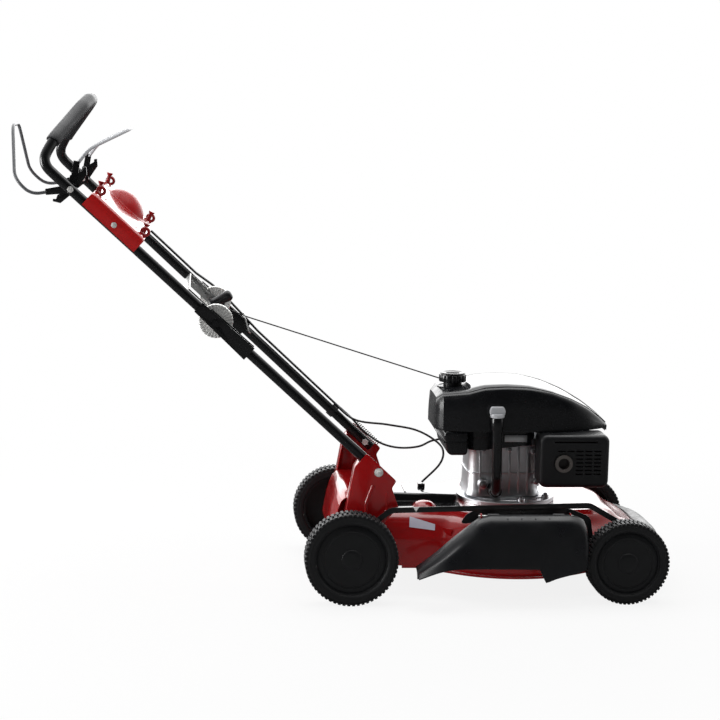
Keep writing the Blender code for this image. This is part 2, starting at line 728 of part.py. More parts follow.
def deflector_section(x, top, foot, flare):
    """One section of the hood: from the hinge over a round shoulder and down to the lower edge."""
    y0, z0 = DEFLECTOR_HINGE
    shoulder_y = y0 - 0.020 - 0.012 * flare
    return [(x, y0 - 0.006, top), (x, shoulder_y + 0.006, top - 0.004), (x, shoulder_y - 0.006, top - 0.017),
            (x, shoulder_y - 0.013 - 0.004 * flare, top * 0.55 + foot * 0.45),
            (x, shoulder_y - 0.020 - 0.012 * flare, foot)]


def make_deflector(mower):
    """The black moulded hood on the right side that turns the cut grass down and back."""
    y0, z0 = DEFLECTOR_HINGE
    axis = axis_empty("side_deflector_axis", (0, y0, z0), mower)
    top = z0 + 0.004
    front = FRONT_AXLE_X - FRONT_WHEEL_RADIUS - 0.0015
    stations = [(-0.162, 0.082, 0.0705, 1.0), (-0.120, 0.114, 0.0840, 0.9), (-0.087, 0.143, 0.0890, 0.7),
                (-0.056, 0.168, 0.0890, 0.5), (-0.030, 0.188, 0.0885, 0.4), (-0.005, top, 0.0880, 0.3),
                (0.098, top, 0.0865, 0.3), (0.112, top, 0.0575, 0.3), (0.135, top, 0.0660, 0.3),
                (0.165, top, 0.0740, 0.3), (0.186, 0.190, 0.0790, 0.2), (front - 0.006, 0.178, 0.0860, 0.1),
                (front, 0.155, 0.0970, -0.4)]
    rings = [[Vector(p) - Vector((0, y0, z0)) for p in deflector_section(*station)] for station in stations]
    hood = as_mesh(thicken(loft(rings, False, False, cyclic=False), 0.003, offset=0))
    end = [Vector(p) - Vector((0, y0, z0)) for p in deflector_section(front - 0.007, 0.179, 0.0860, 0.1)]
    end += [Vector((0, 0.024, 0.100 - z0)), Vector((0, 0.024, 0.160 - z0))]
    cheek = plate([[(p.y, p.z) for p in end]], 0.0026, "YZ", front - 0.0085)
    join(hood, cheek)
    for x in (DISCHARGE_REAR_X + 0.022, DISCHARGE_FRONT_X - 0.022):
        knuckle = rod((x - 0.012, 0, 0), (x + 0.012, 0, 0), 0.0060)
        web = span_box((x - 0.010, -0.0095, -0.003), (x + 0.010, 0, 0.0045))
        join(hood, knuckle, web)
    cut(hood, rod((-0.2, 0, 0), (0.3, 0, 0), HINGE_ROD + RUN))
    for x in EAR_PLACES:
        notch = EAR_SHEET / 2 + 2 * RUN
        cut(hood, span_box((x - notch, -0.0125, -0.012), (x + notch, 0.002, 0.012)))
    finish(hood, "side_deflector", BLACK_PLASTIC, axis)
    pin = rod((DISCHARGE_REAR_X - 0.010, y0, z0), (DISCHARGE_FRONT_X + 0.010, y0, z0), HINGE_ROD)
    return pin


def make_belt_cover(mower):
    """A black pressed channel on the deck, over the slot for the drive belt and its clutch."""
    back, front = -0.262, CRANK_X - FLANGE_RADIUS - 0.004
    half, foot = BELT_COVER_WIDTH / 2, DECK_TOP + GAP
    rings = [[(back, -half - 0.004, foot), (back, half + 0.004, foot), (front, half + 0.004, foot),
              (front, -half - 0.004, foot)],
             [(back + 0.004, -half, foot + 0.006), (back + 0.004, half, foot + 0.006),
              (front, half, foot + 0.006), (front, -half, foot + 0.006)],
             [(back + 0.012, -half + 0.004, BELT_COVER_TOP), (back + 0.012, half - 0.004, BELT_COVER_TOP),
              (front - 0.002, half - 0.004, BELT_COVER_TOP - 0.006), (front - 0.002, -half + 0.004, BELT_COVER_TOP - 0.006)]]
    shell = as_mesh(thicken(loft(rings, close_start=False), 0.0018))
    clip = span_box((-0.1300, 0.018, BELT_COVER_TOP - 0.006), (-0.1140, 0.034, BELT_COVER_TOP + 0.004))
    join(shell, clip)
    cut(shell, span_box((back - 0.1, -0.1, 0.1), (front + 0.1, 0.1, foot)))
    finish(shell, "belt_cover", BLACK_PAINT, mower)


def make_nose_guard(mower):
    """A moulded guard in front of the nose, swept back at its ends."""
    section = [(0.0012, 0.1225), (0.004, 0.1275), (0.014, 0.1300), (0.034, 0.1250), (0.0465, 0.1135),
               (0.0500, 0.0980), (0.0465, 0.0980), (0.0435, 0.1115), (0.0325, 0.1215), (0.014, 0.1265),
               (0.0062, 0.1245), (0.0042, 0.1190), (0.0012, 0.1190)]
    half, count = 0.150, 10
    rings = []
    for k in range(count + 1):
        y = (2 * k / count - 1) * half
        nose = DECK_NOSE_X * (1 - (abs(y) / DECK_NOSE_HALF) ** NOSE_CORNER) ** (1 / NOSE_CORNER)
        sweep = 1 - 0.40 * (abs(y) / half) ** 2
        rings.append([(nose + out * sweep, y, z) for out, z in section])
    finish(loft(rings), "front_nose_guard", BLACK_PLASTIC, mower)


# The drive: gearbox, shaft, belt and pulleys

def make_gearbox(mower):
    """A small cast worm gearbox that hangs on the rear axle tube."""
    x, z = REAR_PIVOT
    case = soften(span_box((x - 0.030, -0.040, z - 0.030), (x + 0.034, 0.040, z + 0.030)), 0.006, 1)
    case = as_mesh(case)
    join(case, rod((x, 0, z + 0.028), (x, 0, BELT_Z - 0.012), 0.015))
    for side in (-1, 1):
        join(case, rod((x, side * 0.039, z), (x, side * 0.058, z), 0.021, segments=16))
    cut(case, rod((x, -0.07, z), (x, 0.07, z), AXLE_TUBE_RADIUS + RUN, segments=16))
    cut(case, rod((x, 0, z + 0.020), (x, 0, BELT_Z), 0.0055))
    finish(case, "gearbox", ALUMINIUM, mower)


def make_drive_shaft(mower):
    """The shaft inside the rear axle tube, with a pinion at each end inside the wheel."""
    x, z = REAR_PIVOT
    axis = axis_empty("drive_shaft_axis", (x, 0, z), mower)
    end = WHEEL_INNER_FACE + 0.016
    shaft = rod((0, -end, 0), (0, end, 0), DRIVE_SHAFT_RADIUS)
    teeth = 8
    outline = []
    for k in range(teeth):
        for share, radius in ((0.0, 0.0090), (0.4, 0.0115), (0.7, 0.0115)):
            angle = math.tau * (k + share) / teeth
            outline.append((radius * math.cos(angle), radius * math.sin(angle)))
    for side in (-1, 1):
        middle = side * (WHEEL_INNER_FACE + 0.009)
        join(shaft, plate([outline], 0.010, "XZ", middle))
    finish(shaft, "drive_shaft", STEEL, axis)


def pulley_profile(radius, bore):
    """A flat-bottomed groove between two flanges."""
    return [(radius + 0.006, 0.0065), (radius + 0.006, 0.0050), (radius, 0.0040), (radius, -0.0040),
            (radius + 0.006, -0.0050), (radius + 0.006, -0.0065), (bore, -0.0065), (bore, 0.0065)]


def make_gearbox_pulley(mower):
    x, z = REAR_PIVOT
    axis = axis_empty("gearbox_pulley_axis", (x, 0, BELT_Z), mower)
    wheel = turned(pulley_profile(GEARBOX_PULLEY_RADIUS, 0.004), "Z", (0, 0, 0), 18)
    shaft = rod((0, 0, z + 0.024 - BELT_Z), (0, 0, 0.009), 0.005)
    join(wheel, shaft)
    finish(wheel, "gearbox_pulley", STEEL, axis)


def belt_outline(extra):
    """The belt's loop round both pulleys, with straight runs on their common tangents."""
    gap = CRANK_X - REAR_PIVOT[0]
    big, small = GEARBOX_PULLEY_RADIUS + extra, ENGINE_PULLEY_RADIUS + extra
    lean = math.asin((big - small) / gap)
    rear = circle(big, (REAR_PIVOT[0], 0), 12, math.pi / 2 - lean, math.pi + 2 * lean)
    front = circle(small, (CRANK_X, 0), 12, -math.pi / 2 + lean, math.pi - 2 * lean)
    return rear + front


def make_belt(mower):
    loop = plate([belt_outline(GAP + 0.0005), belt_outline(GAP + 0.0055)], 0.0070, "XY", BELT_Z)
    finish(loop, "drive_belt", RUBBER, mower)


def make_crankshaft(mower):
    """The upright crankshaft, with the pulley and blade carrier keyed on below the engine."""
    axis = axis_empty("crankshaft_axis", (CRANK_X, 0, 0), mower)
    foot = BLADE_Z + BLADE_THICKNESS + GAP
    shaft = rod((0, 0, foot + 0.004), (0, 0, 0.388), CRANKSHAFT_RADIUS)
    join(shaft, flywheel())
    finish(shaft, "crankshaft", STEEL, axis)
    bore = CRANKSHAFT_RADIUS + GAP
    groove = [(r, z + BELT_Z) for r, z in pulley_profile(ENGINE_PULLEY_RADIUS, bore)]
    profile = groove[:6] + [(0.018, BELT_Z - 0.0065), (0.018, foot + 0.014), (0.031, foot + 0.010),
                            (0.031, foot), (bore, foot), (bore, BELT_Z + 0.0065)]
    carrier = turned(profile, "Z", segments=16)
    finish(carrier, "blade_carrier", STEEL, axis)
    bolt = hex_bolt((0, 0, BLADE_Z - GAP), (0, 0, -1), 0.016, 0.009, 0.003)
    join(bolt, rod((0, 0, BLADE_Z - 0.004), (0, 0, BLADE_Z + BLADE_THICKNESS + 0.003), 0.0048))
    finish(bolt, "blade_bolt", STEEL, axis)
    return axis


def blade_ring(along, lift, edge):
    """One section across the blade: the trailing edge lifted, and the leading edge ground down."""
    half, thick, grind = BLADE_WIDTH / 2, BLADE_THICKNESS, 0.010
    return [(along, -half, lift), (along, -half * 0.25, 0), (along, half - grind, 0), (along, half, 0),
            (along, half, edge), (along, half - grind, thick), (along, -half * 0.25, thick),
            (along, -half, thick + lift)]


def make_blade(crank):
    """A flat spring-steel bar with ground leading edges and lift wings bent up at its trailing ends."""
    half, thick = BLADE_LENGTH / 2, BLADE_THICKNESS
    arm = [blade_ring(*station) for station in (
        (0.020, 0, thick), (0.125, 0, thick), (0.132, 0, 0.0006), (0.170, 0.003, 0.0006),
        (0.195, 0.012, 0.0006), (half, 0.015, 0.0006))]
    other = []
    for ring in reversed(arm):
        turned_ring = [(-x, -y, z) for x, y, z in ring]
        other.append(list(reversed(turned_ring[:4])) + list(reversed(turned_ring[4:])))
    bar = loft(other + arm)
    bar.data.transform(Matrix.Translation((0, 0, BLADE_Z)))
    cut(bar, rod((0, 0, 0), (0, 0, 0.1), 0.0052))
    finish(bar, "blade", STEEL, crank, smooth=25)


def flywheel():
    """The cast flywheel keyed to the top of the crankshaft, with its ring of cooling blades."""
    z, bore = 0.366, CRANKSHAFT_RADIUS - OVERLAP
    profile = [(0.070, 0.008), (0.070, -0.006), (0.030, -0.010), (bore, -0.010), (bore, 0.010), (0.030, 0.010),
               (0.034, 0.004)]
    wheel = turned(profile, "Z", (0, 0, z), 20)
    for k in range(8):
        fin = span_box((0.052, -0.0015, z + 0.002), (0.066, 0.0015, z + 0.022))
        fin.data.transform(Matrix.Rotation(math.tau * (k + 0.5) / 8, 4, "Z"))
        join(wheel, fin)
    return as_mesh(wheel)


# The engine

def make_sump_flange(mower):
    """The cast base of the crankcase, a round flange bolted down on the deck."""
    z = DECK_TOP + GAP
    top = FLANGE_THICKNESS
    profile = [(0.074, top + 0.004), (0.096, top + 0.001), (FLANGE_RADIUS, top - 0.003),
               (FLANGE_RADIUS, 0), (0.028, 0), (0.028, top + 0.004)]
    disc = turned(profile, "Z", (CRANK_X, 0, z), 28)
    for degrees in (-78, -35, 35, 78):
        angle = math.radians(degrees)
        place = Vector((CRANK_X + 0.100 * math.cos(angle), 0.100 * math.sin(angle), z))
        join(disc, rod(place + Vector((0, 0, 0.004)), place + Vector((0, 0, top + 0.010)), 0.0085, segments=8))
    finish(disc, "sump_flange", ALUMINIUM, mower)


def make_crankcase(mower):
    """The aluminium crankcase between the flange and the shroud."""
    foot, head = DECK_TOP + 2 * GAP + FLANGE_THICKNESS + 0.004, COVER_BOTTOM - 0.022
    rings = []
    for z, grow in ((foot, 0.004), (foot + 0.012, 0.0), (head - 0.018, -0.003), (head - 0.014, 0.004), (head, 0.004)):
        outline = rounded_rect((-0.028 - grow, -0.066 - grow), (0.132 + grow, 0.066 + grow), 0.030, 4)
        rings.append([(x, y, z) for x, y in outline])
    case = loft(rings)
    rib_height = head - foot - 0.026
    for x in (-0.002, 0.064, 0.104):
        rib = box((0.006, 0.140, rib_height), (x, 0, foot + 0.008 + rib_height / 2))
        join(case, rib)
    cut(case, rod((CRANK_X, 0, 0.1), (CRANK_X, 0, 0.5), CRANKSHAFT_RADIUS + RUN))
    finish(case, "crankcase", ALUMINIUM, mower)


def make_cylinder(mower):
    """The finned cylinder and head, lying forwards under the shroud, with its spark plug."""
    start, fins, pitch, fin, deep = 0.1363, 11, 0.0100, 0.0035, 0.014
    low, high = 0.236, COVER_BOTTOM - 0.010
    end, y, half = start + fins * pitch + fin, 0.006, 0.043
    block = span_box((start, y - half, low), (end, y + half, high))
    for k in range(fins):
        x = start + fin + k * pitch
        for z0, z1 in ((low - 0.01, low + deep), (high - deep, high + 0.01)):
            cut(block, span_box((x, y - half - 0.01, z0), (x + pitch - fin, y + half + 0.01, z1)))
    block = as_mesh(block)
    plug = rod((end - OVERLAP, y, 0.287), (end + 0.014, y, 0.287), 0.0085, segments=6)
    join(block, plug, rod((end + 0.010, y, 0.287), (end + 0.022, y, 0.287), 0.0060, segments=8))
    finish(block, "cylinder_head", ALUMINIUM, mower)


COVER_STATIONS = (
    (-0.1065, 0.050, 0.392, 0.3930), (-0.1025, 0.068, 0.415, 0.4180), (-0.0900, 0.083, 0.427, 0.4310),
    (-0.0350, 0.097, 0.434, 0.4392), (-0.0260, 0.098, 0.437, 0.4455), (0.0000, 0.101, 0.4445, 0.4525),
    (0.0500, 0.102, 0.4475, 0.4550), (0.1000, 0.102, 0.4455, 0.4525), (0.1500, 0.098, 0.4350, 0.4410),
    (0.1950, 0.089, 0.4180, 0.4230), (0.2350, 0.074, 0.3960, 0.4005), (0.2650, 0.056, 0.3740, 0.3780),
    (0.2860, 0.034, 0.3560, 0.3585),
)


def make_engine_cover(mower):
    """The moulded black shroud: an upright wall, a crease all round, and a gently domed lid."""
    rings = []
    for x, half, crease, top in COVER_STATIONS:
        side = [(half + 0.003, COVER_BOTTOM), (half + 0.002, COVER_BOTTOM * 0.5 + crease * 0.5),
                (half - 0.001, crease - 0.010), (half - 0.005, crease - 0.002), (half - 0.012, crease)]
        roof = [(half * 0.55, crease + (top - crease) * 0.7), (0, top)]
        right = [(x, -y, z) for y, z in side + roof]
        left = [(x, y, z) for y, z in reversed(side + roof[:-1])]
        rings.append(right + left)
    skin = open_bottom(rings)
    cover = as_mesh(thicken(skin, COVER_WALL))
    cut(cover, rod((FUEL_NECK_X, 0, 0.40), (FUEL_NECK_X, 0, 0.50), 0.0215 + GAP, segments=24))
    for k in range(5):
        x = 0.010 + 0.020 * k
        slot = span_box((x, 0.09, 0.375), (x + 0.008, 0.12, 0.425))
        cut(cover, slot)
    finish(cover, "engine_cover", BLACK_PLASTIC, mower, smooth=30)


def open_bottom(rings):
    """The shroud's skin: the sections joined, both ends closed, and the underside left open."""
    bm = bmesh.new()
    rows = [[bm.verts.new(p) for p in ring] for ring in rings]
    for low, high in zip(rows, rows[1:]):
        for k in range(len(low) - 1):
            bm.faces.new((low[k], low[k + 1], high[k + 1], high[k]))
    bm.faces.new(rows[0])
    bm.faces.new(rows[-1])
    bmesh.ops.recalc_face_normals(bm, faces=bm.faces)
    top = max(bm.faces, key=lambda f: f.calc_center_median().z)
    if top.normal.z < 0:
        bmesh.ops.reverse_faces(bm, faces=bm.faces)
    return from_bmesh(bm)


def make_fuel_tank(mower):
    """The fuel tank under the back of the shroud, with the filler neck up through it."""
    low, high = 0.2930, COVER_BOTTOM - GAP
    side = [(-0.0860, high), (-0.0880, high - 0.012), (-0.0800, low + 0.006), (-0.0720, low), (-0.0345, low),
            (-0.0345, high)]
    tank = as_mesh(soften(plate([side], 0.170, "XZ", -0.006), 0.005, 1, 50))
    neck_top = FUEL_CAP_TOP - 0.020
    join(tank, rod((FUEL_NECK_X, 0, high - 0.01), (FUEL_NECK_X, 0, neck_top), 0.0205, segments=24))
    cut(tank, rod((FUEL_NECK_X, 0, low + 0.01), (FUEL_NECK_X, 0, neck_top + 0.01), 0.0165, segments=24))
    finish(tank, "fuel_tank", BLACK_PLASTIC, mower)


def make_fuel_cap(mower):
    """The screw cap with finger flutes round its rim."""
    axis = axis_empty("fuel_cap_axis", (FUEL_NECK_X, 0, 0), mower)
    flutes, points = 12, 2
    outline = []
    for k in range(flutes * points):
        radius = 0.0305 - 0.0016 * (math.cos(math.tau * k / points) + 1) / 2
        angle = math.tau * k / (flutes * points)
        outline.append((radius * math.cos(angle), radius * math.sin(angle)))
    foot, brim = 0.4440, FUEL_CAP_TOP - 0.005
    cap = plate([outline], brim - foot, "XY", (brim + foot) / 2)
    join(cap, rod((0, 0, brim - OVERLAP), (0, 0, FUEL_CAP_TOP), 0.028, 0.0255, 24))
    cut(cap, rod((0, 0, foot - 0.01), (0, 0, FUEL_CAP_TOP - 0.020 + RUN), 0.0205 + RUN, segments=24))
    finish(cap, "fuel_cap", BLACK_PLASTIC, axis)


DIP_X = (0.0285, 0.0237)
DIP_PATH = [(DIP_X[0], -0.0800, 0.2100), (DIP_X[0], -0.1000, 0.2160), (DIP_X[0] - 0.001, -0.1120, 0.2500),
            (DIP_X[0] - 0.004, -0.1215, 0.330), (DIP_X[1], -0.1215, 0.384)]


def make_dipstick(mower):
    """The oil filler tube at the engine's side, and the grey cap with its stick."""
    path = smooth_path(DIP_PATH, 3)
    pipe = tube(path, 0.0115, 3)
    elbow = rod((DIP_X[0], -0.0706, 0.2135), (DIP_X[0], -0.1000, 0.2155), 0.0160, 0.0140, 16)
    join(pipe, elbow)
    top = Vector(DIP_PATH[-1])
    cut(pipe, rod(top - Vector((0, 0, 0.036)), top + Vector((0, 0, 0.01)), 0.0085))
    finish(pipe, "dipstick_tube", BLACK_PLASTIC, mower)
    axis = axis_empty("dipstick_axis", top, mower)
    profile = [(0.0, 0.0255), (0.0155, 0.0235), (0.0180, 0.0160), (0.0160, GAP), (0.0, GAP)]
    cap = turned(profile, "Z", segments=16)
    join(cap, rod((0, 0, -0.030), (0, 0, 0.004), 0.0025, segments=8))
    finish(cap, "dipstick", LIGHT_GREY, axis)


def make_muffler(mower):
    """The silencer box by the cylinder, with its outlet, inside a louvred heat guard."""
    face, back, guard_back = -0.134, -0.050, -0.0715
    low, high = (0.119, 0.2293), (0.2735, COVER_BOTTOM - 0.0008)
    x0, z0, x1, z1 = low[0], low[1], high[0], high[1]
    core = soften(span_box((x0 + 0.012, face + 0.012, z0 + 0.012), (x1 - 0.012, back - 0.004, z1 - 0.012)), 0.010, 1)
    muffler = as_mesh(core)
    outlet = rod((EXHAUST_X, face + 0.02, EXHAUST_Z), (EXHAUST_X, face - 0.007, EXHAUST_Z), 0.0195, segments=20)
    port = rod((0.190, back - 0.006, 0.285), (0.190, -0.037 - GAP, 0.285), 0.013)
    join(muffler, outlet, port)
    cut(muffler, rod((EXHAUST_X, face + 0.03, EXHAUST_Z), (EXHAUST_X, face - 0.02, EXHAUST_Z), 0.0125, segments=16))
    finish(muffler, "muffler", STEEL, mower)

    def ring(inset, y):
        return [(x, y, z) for x, z in rounded_rect((x0 + inset, z0 + inset), (x1 - inset, z1 - inset),
                                                   0.016 - inset, 2)]
    guard = loft([ring(0.0080, face), ring(0.0023, face + 0.0023), ring(0, face + 0.0080), ring(0, guard_back),
                  ring(0.0025, guard_back), ring(0.0025, face + 0.0085), ring(0.0048, face + 0.0048),
                  ring(0.0085, face + 0.0025)])
    cut(guard, rod((EXHAUST_X, face + 0.01, EXHAUST_Z), (EXHAUST_X, face - 0.01, EXHAUST_Z), 0.0195 + RUN, segments=20))
    for column in range(3):
        for row in range(7):
            x, z = 0.1990 + 0.0200 * column, 0.2590 + 0.0085 * row
            slot = span_box((x, face - 0.01, z), (x + 0.0155, face + 0.01, z + 0.0038))
            cut(guard, slot)
    finish(guard, "muffler_guard", BLACK_PLASTIC, mower)


def make_air_filter(mower):
    """The air filter's box on the engine's left side."""
    y0 = 0.102 + 0.003 + GAP + 0.0008
    case = plate([rounded_rect((-0.020, 0.300), (0.112, 0.372), 0.012, 2)], 0.046, "XZ", y0 + 0.023)
    case = as_mesh(soften(case, 0.006, 1, 50))
    lid = plate([rounded_rect((-0.016, 0.304), (0.108, 0.368), 0.010, 2)], 0.004, "XZ", y0 + 0.047)
    join(case, lid)
    elbow = rod((0.046, y0 + 0.004, 0.3155), (0.046, 0.0704, 0.3155), 0.0075)
    join(case, elbow)
    finish(case, "air_filter", BLACK_PLASTIC, mower)


# The handle

CHANNEL_WALL = 0.002
CHANNEL_LOW = -0.095
CHANNEL_HIGH = 0.050
CHANNEL_HALF = 0.0165
CHANNEL_IN = tube_y(CHANNEL_LOW) - TUBE_RADIUS + 0.0006
CHANNEL_OUT = tube_y(0) + TUBE_RADIUS + 0.0035
DISC_THICKNESS = 0.0065
LOWER_DISC_FACE = CHANNEL_IN - CHANNEL_WALL - DISC_THICKNESS
UPPER_DISC_FACE = LOWER_DISC_FACE - 2 * GAP
UPPER_DISC_BACK = UPPER_DISC_FACE - DISC_THICKNESS
TONGUE_BACK = UPPER_DISC_BACK - 0.0030
BOLT_RADIUS = 0.004


def lower_tube():
    start, end = -BRACKET_BOLT_DOWN - 0.020, -0.022
    pipe = tube([(0, tube_y(start), start), (0, tube_y(end), end)], TUBE_RADIUS, 4)
    hole = rod((0, 0.10, -BRACKET_BOLT_DOWN), (0, 0.25, -BRACKET_BOLT_DOWN), BOLT_RADIUS + RUN, segments=8)
    return cut(pipe, hole)


def hinge_channel():
    """The folded channel on a lower tube, open to the front, that the upper tube folds into."""
    back = -CHANNEL_HALF + CHANNEL_WALL
    shell = span_box((-CHANNEL_HALF, CHANNEL_IN - CHANNEL_WALL, CHANNEL_LOW),
                     (CHANNEL_HALF, CHANNEL_OUT + CHANNEL_WALL, CHANNEL_HIGH))
    hollow = span_box((back, CHANNEL_IN, CHANNEL_LOW - 0.01), (CHANNEL_HALF + 0.01, CHANNEL_OUT, CHANNEL_HIGH + 0.01))
    notch = span_box((-0.03, CHANNEL_IN - 0.01, 0.024), (0.03, CHANNEL_OUT - 0.020, CHANNEL_HIGH + 0.01))
    return cut(shell, hollow, notch)


def make_lower_handle(line):
    """On each side, a straight tube from the bracket up, with its hinge channel and toothed disc."""
    def one():
        body = as_mesh(lower_tube())
        join(body, as_mesh(hinge_channel()))
        join(body, toothed_disc(DISC_RADIUS, 14, LOWER_DISC_FACE, CHANNEL_IN - CHANNEL_WALL + 0.0005))
        return as_mesh(cut(body, rod((0, 0.1, 0), (0, 0.3, 0), BOLT_RADIUS + RUN, segments=8)))
    left = one()
    right = mirrored(left)
    join(left, rope_guide())
    finish(left, "lower_handle_left", BLACK_PAINT, line)
    finish(right, "lower_handle_right", BLACK_PAINT, line)


def toothed_disc(radius, teeth, y_face, y_back):
    """A pressed disc whose face carries a ring of radial teeth, on an axis along Y."""
    depth, bore = 0.0022, BOLT_RADIUS + 2 * RUN
    toward = 1 if y_face > y_back else -1
    bm = bmesh.new()
    rings = []
    for k in range(teeth * 2):
        angle = math.pi * k / teeth
        c, s = math.cos(angle), math.sin(angle)
        low = y_face - toward * depth if k % 2 else y_face
        rings.append([(bore * c, y_back, bore * s), (radius * c, y_back, radius * s),
                      (radius * c, low, radius * s), (radius * 0.55 * c, low, radius * 0.55 * s),
                      (bore * c, y_face - toward * depth * 1.2, bore * s)])
    rows = [[bm.verts.new(p) for p in ring] for ring in rings]
    for a, b in zip(rows, rows[1:] + rows[:1]):
        for j in range(len(a)):
            i = (j + 1) % len(a)
            bm.faces.new((a[j], a[i], b[i], b[j]))
    bmesh.ops.recalc_face_normals(bm, faces=bm.faces)
    return from_bmesh(bm)


def make_upper_handle(fold):
    """One bent tube: up from the fold on the right, over the grip bar, and down on the left."""
    low = 0.026
    side = [(0, tube_y(low), low), (0, tube_y(0.487), 0.487), (0.050, 0.188, 0.500), (0.132, 0.088, 0.507),
            (0.1490, 0.040, 0.508)]
    right = [(x, -y, z) for x, y, z in side]
    path = rounded_path(right + list(reversed(side)), 0.050, 2)
    handle = tube(path, TUBE_RADIUS, 3)
    pivot = rod((0, -0.3, LEVER_PIVOT_UP), (0, 0.3, LEVER_PIVOT_UP), BOLT_RADIUS + RUN, segments=8)
    cut(handle, pivot)
    reach = DISC_RADIUS + 0.0025
    for side in (-1, 1):
        ends = sorted((side * TONGUE_BACK, side * (tube_y(reach) - TUBE_RADIUS + 0.004)))
        arm = span_box((-0.009, ends[0], reach), (0.009, ends[1], reach + 0.011))
        ends = sorted((side * TONGUE_BACK, side * (UPPER_DISC_BACK + 0.0005)))
        strap = span_box((-0.0085, ends[0], 0.010), (0.0085, ends[1], reach + 0.010))
        disc = toothed_disc(DISC_RADIUS, 14, UPPER_DISC_FACE, UPPER_DISC_BACK)
        join(handle, arm, strap, disc if side > 0 else mirror_and_drop(disc))
    finish(handle, "upper_handle", BLACK_PAINT, fold)
    return path


def make_grip(fold, path):
    """The foam sleeve over the top bar and its two corners."""
    bar = [p for p in path if p.x > 0.045]
    sleeve = tube(bar, GRIP_RADIUS, 3)
    before, after = bar[0] + (bar[0] - bar[1]).normalized() * 0.01, bar[-1] + (bar[-1] - bar[-2]).normalized() * 0.01
    cut(sleeve, tube([before] + bar + [after], (TUBE_RADIUS + GAP) / math.cos(math.pi / 10), 3))
    finish(sleeve, "grip_sleeve", FOAM, fold)


PANEL_LOW = 0.2263
PANEL_HIGH = 0.3692
PANEL_HALF = 0.2250
PANEL_TOP = 0.0300
PANEL_SHEET = 0.0025
PANEL_EDGE = 0.016
PANEL_CROWN = 0.006


def make_control_panel(fold):
    """The red moulded panel across the tubes, with its round dome and turned-down sides."""
    rings = []
    outside = PANEL_HALF - PANEL_SHEET > tube_y(PANEL_HIGH) + TUBE_RADIUS + GAP
    skirt = -0.006 if outside else TUBE_RADIUS + 2 * GAP
    crown = PANEL_HALF * 0.45
    for z, drop in ((PANEL_LOW, 0.004), (PANEL_LOW + 0.012, 0.0), (PANEL_HIGH - 0.012, 0.0), (PANEL_HIGH, 0.004)):
        half = [(skirt, PANEL_HALF), (PANEL_TOP - 0.008 - drop, PANEL_HALF), (PANEL_TOP - 0.002 - drop, PANEL_HALF - 0.006),
                (PANEL_TOP - drop, PANEL_HALF - PANEL_EDGE), (PANEL_TOP + PANEL_CROWN - drop, crown)]
        ring = [(x, -y, z) for x, y in half] + [(x, y, z) for x, y in reversed(half)]
        rings.append(ring)
    panel = as_mesh(thicken(loft(rings, False, False, cyclic=False), PANEL_SHEET, offset=-1))
    middle = (PANEL_LOW + PANEL_HIGH) / 2
    profile = [(0.0, 0.071), (0.022, 0.0685), (0.041, 0.0585), (0.053, 0.0345),
               (0.050, 0.0345), (0.0385, 0.0565), (0.021, 0.0655), (0.0, 0.068)]
    dome = turned(profile, "X", (0, 0, middle), 20)
    cut(panel, rod((0, 0, middle), (0.06, 0, middle), 0.045, segments=20))
    join(panel, dome)
    for z in (PANEL_LOW + 0.010, PANEL_HIGH - 0.010):
        for side in (-1, 1):
            lug = span_box((0.026, side * 0.190 - 0.006, z - 0.007), (0.046, side * 0.190 + 0.006, z + 0.007))
            join(panel, lug)
    inner = tube_y(middle) - 0.008
    outer = min(inner + 0.016, PANEL_HALF - 0.001)
    rise = PANEL_CROWN * max(PANEL_HALF - PANEL_EDGE - outer, 0) / (PANEL_HALF - PANEL_EDGE - crown)
    for side in (-1, 1):
        near, far = sorted((side * inner, side * outer))
        join(panel, span_box((TUBE_RADIUS + GAP, near, middle - 0.020), (PANEL_TOP + rise - PANEL_SHEET / 2, far, middle + 0.020)))
    finish(panel, "control_panel", RED, fold)


BAIL_HUB = 0.0095


LEVER_THICKNESS = 0.0105


def bail_lever(y, points, width):
    """One moulded bail lever, seen from the side as a tapering arm."""
    upper, lower = [], []
    for k, (x, z) in enumerate(points):
        ahead = points[min(k + 1, len(points) - 1)]
        behind = points[max(k - 1, 0)]
        run = Vector((ahead[0] - behind[0], ahead[1] - behind[1])).normalized()
        half = width * (1 - 0.3 * k / (len(points) - 1))
        upper.append((x - run.y * half, z + run.x * half))
        lower.append((x + run.y * half, z - run.x * half))
    return plate([upper + list(reversed(lower))], LEVER_THICKNESS - 0.001, "XZ", y)


def make_bail(fold, name, arm, wire_points, y_hub, paint, hook):
    """A wire bail between two moulded levers that turn on the handle's pivot bolts."""
    axis = axis_empty(name + "_axis", (0, 0, LEVER_PIVOT_UP), fold)
    reach = LEVER_THICKNESS / 2

    left = bail_lever(y_hub, arm, 0.0095)
    join(left, rod((0, y_hub - reach, 0), (0, y_hub + reach, 0), 0.0125, segments=12))
    join(left, plate([hook], LEVER_THICKNESS - 0.003, "XZ", y_hub))
    left = as_mesh(cut(left, rod((0, y_hub - 0.01, 0), (0, y_hub + 0.01, 0), BOLT_RADIUS + RUN, segments=8)))
    right = [(x, -y, z) for x, y, z in wire_points]
    wire = tube(rounded_path(right + list(reversed(wire_points)), 0.024, 3), WIRE_RADIUS, 2)
    join(wire, left, mirrored(left))
    finish(wire, name, paint, axis)


WIRE_RADIUS = 0.0035


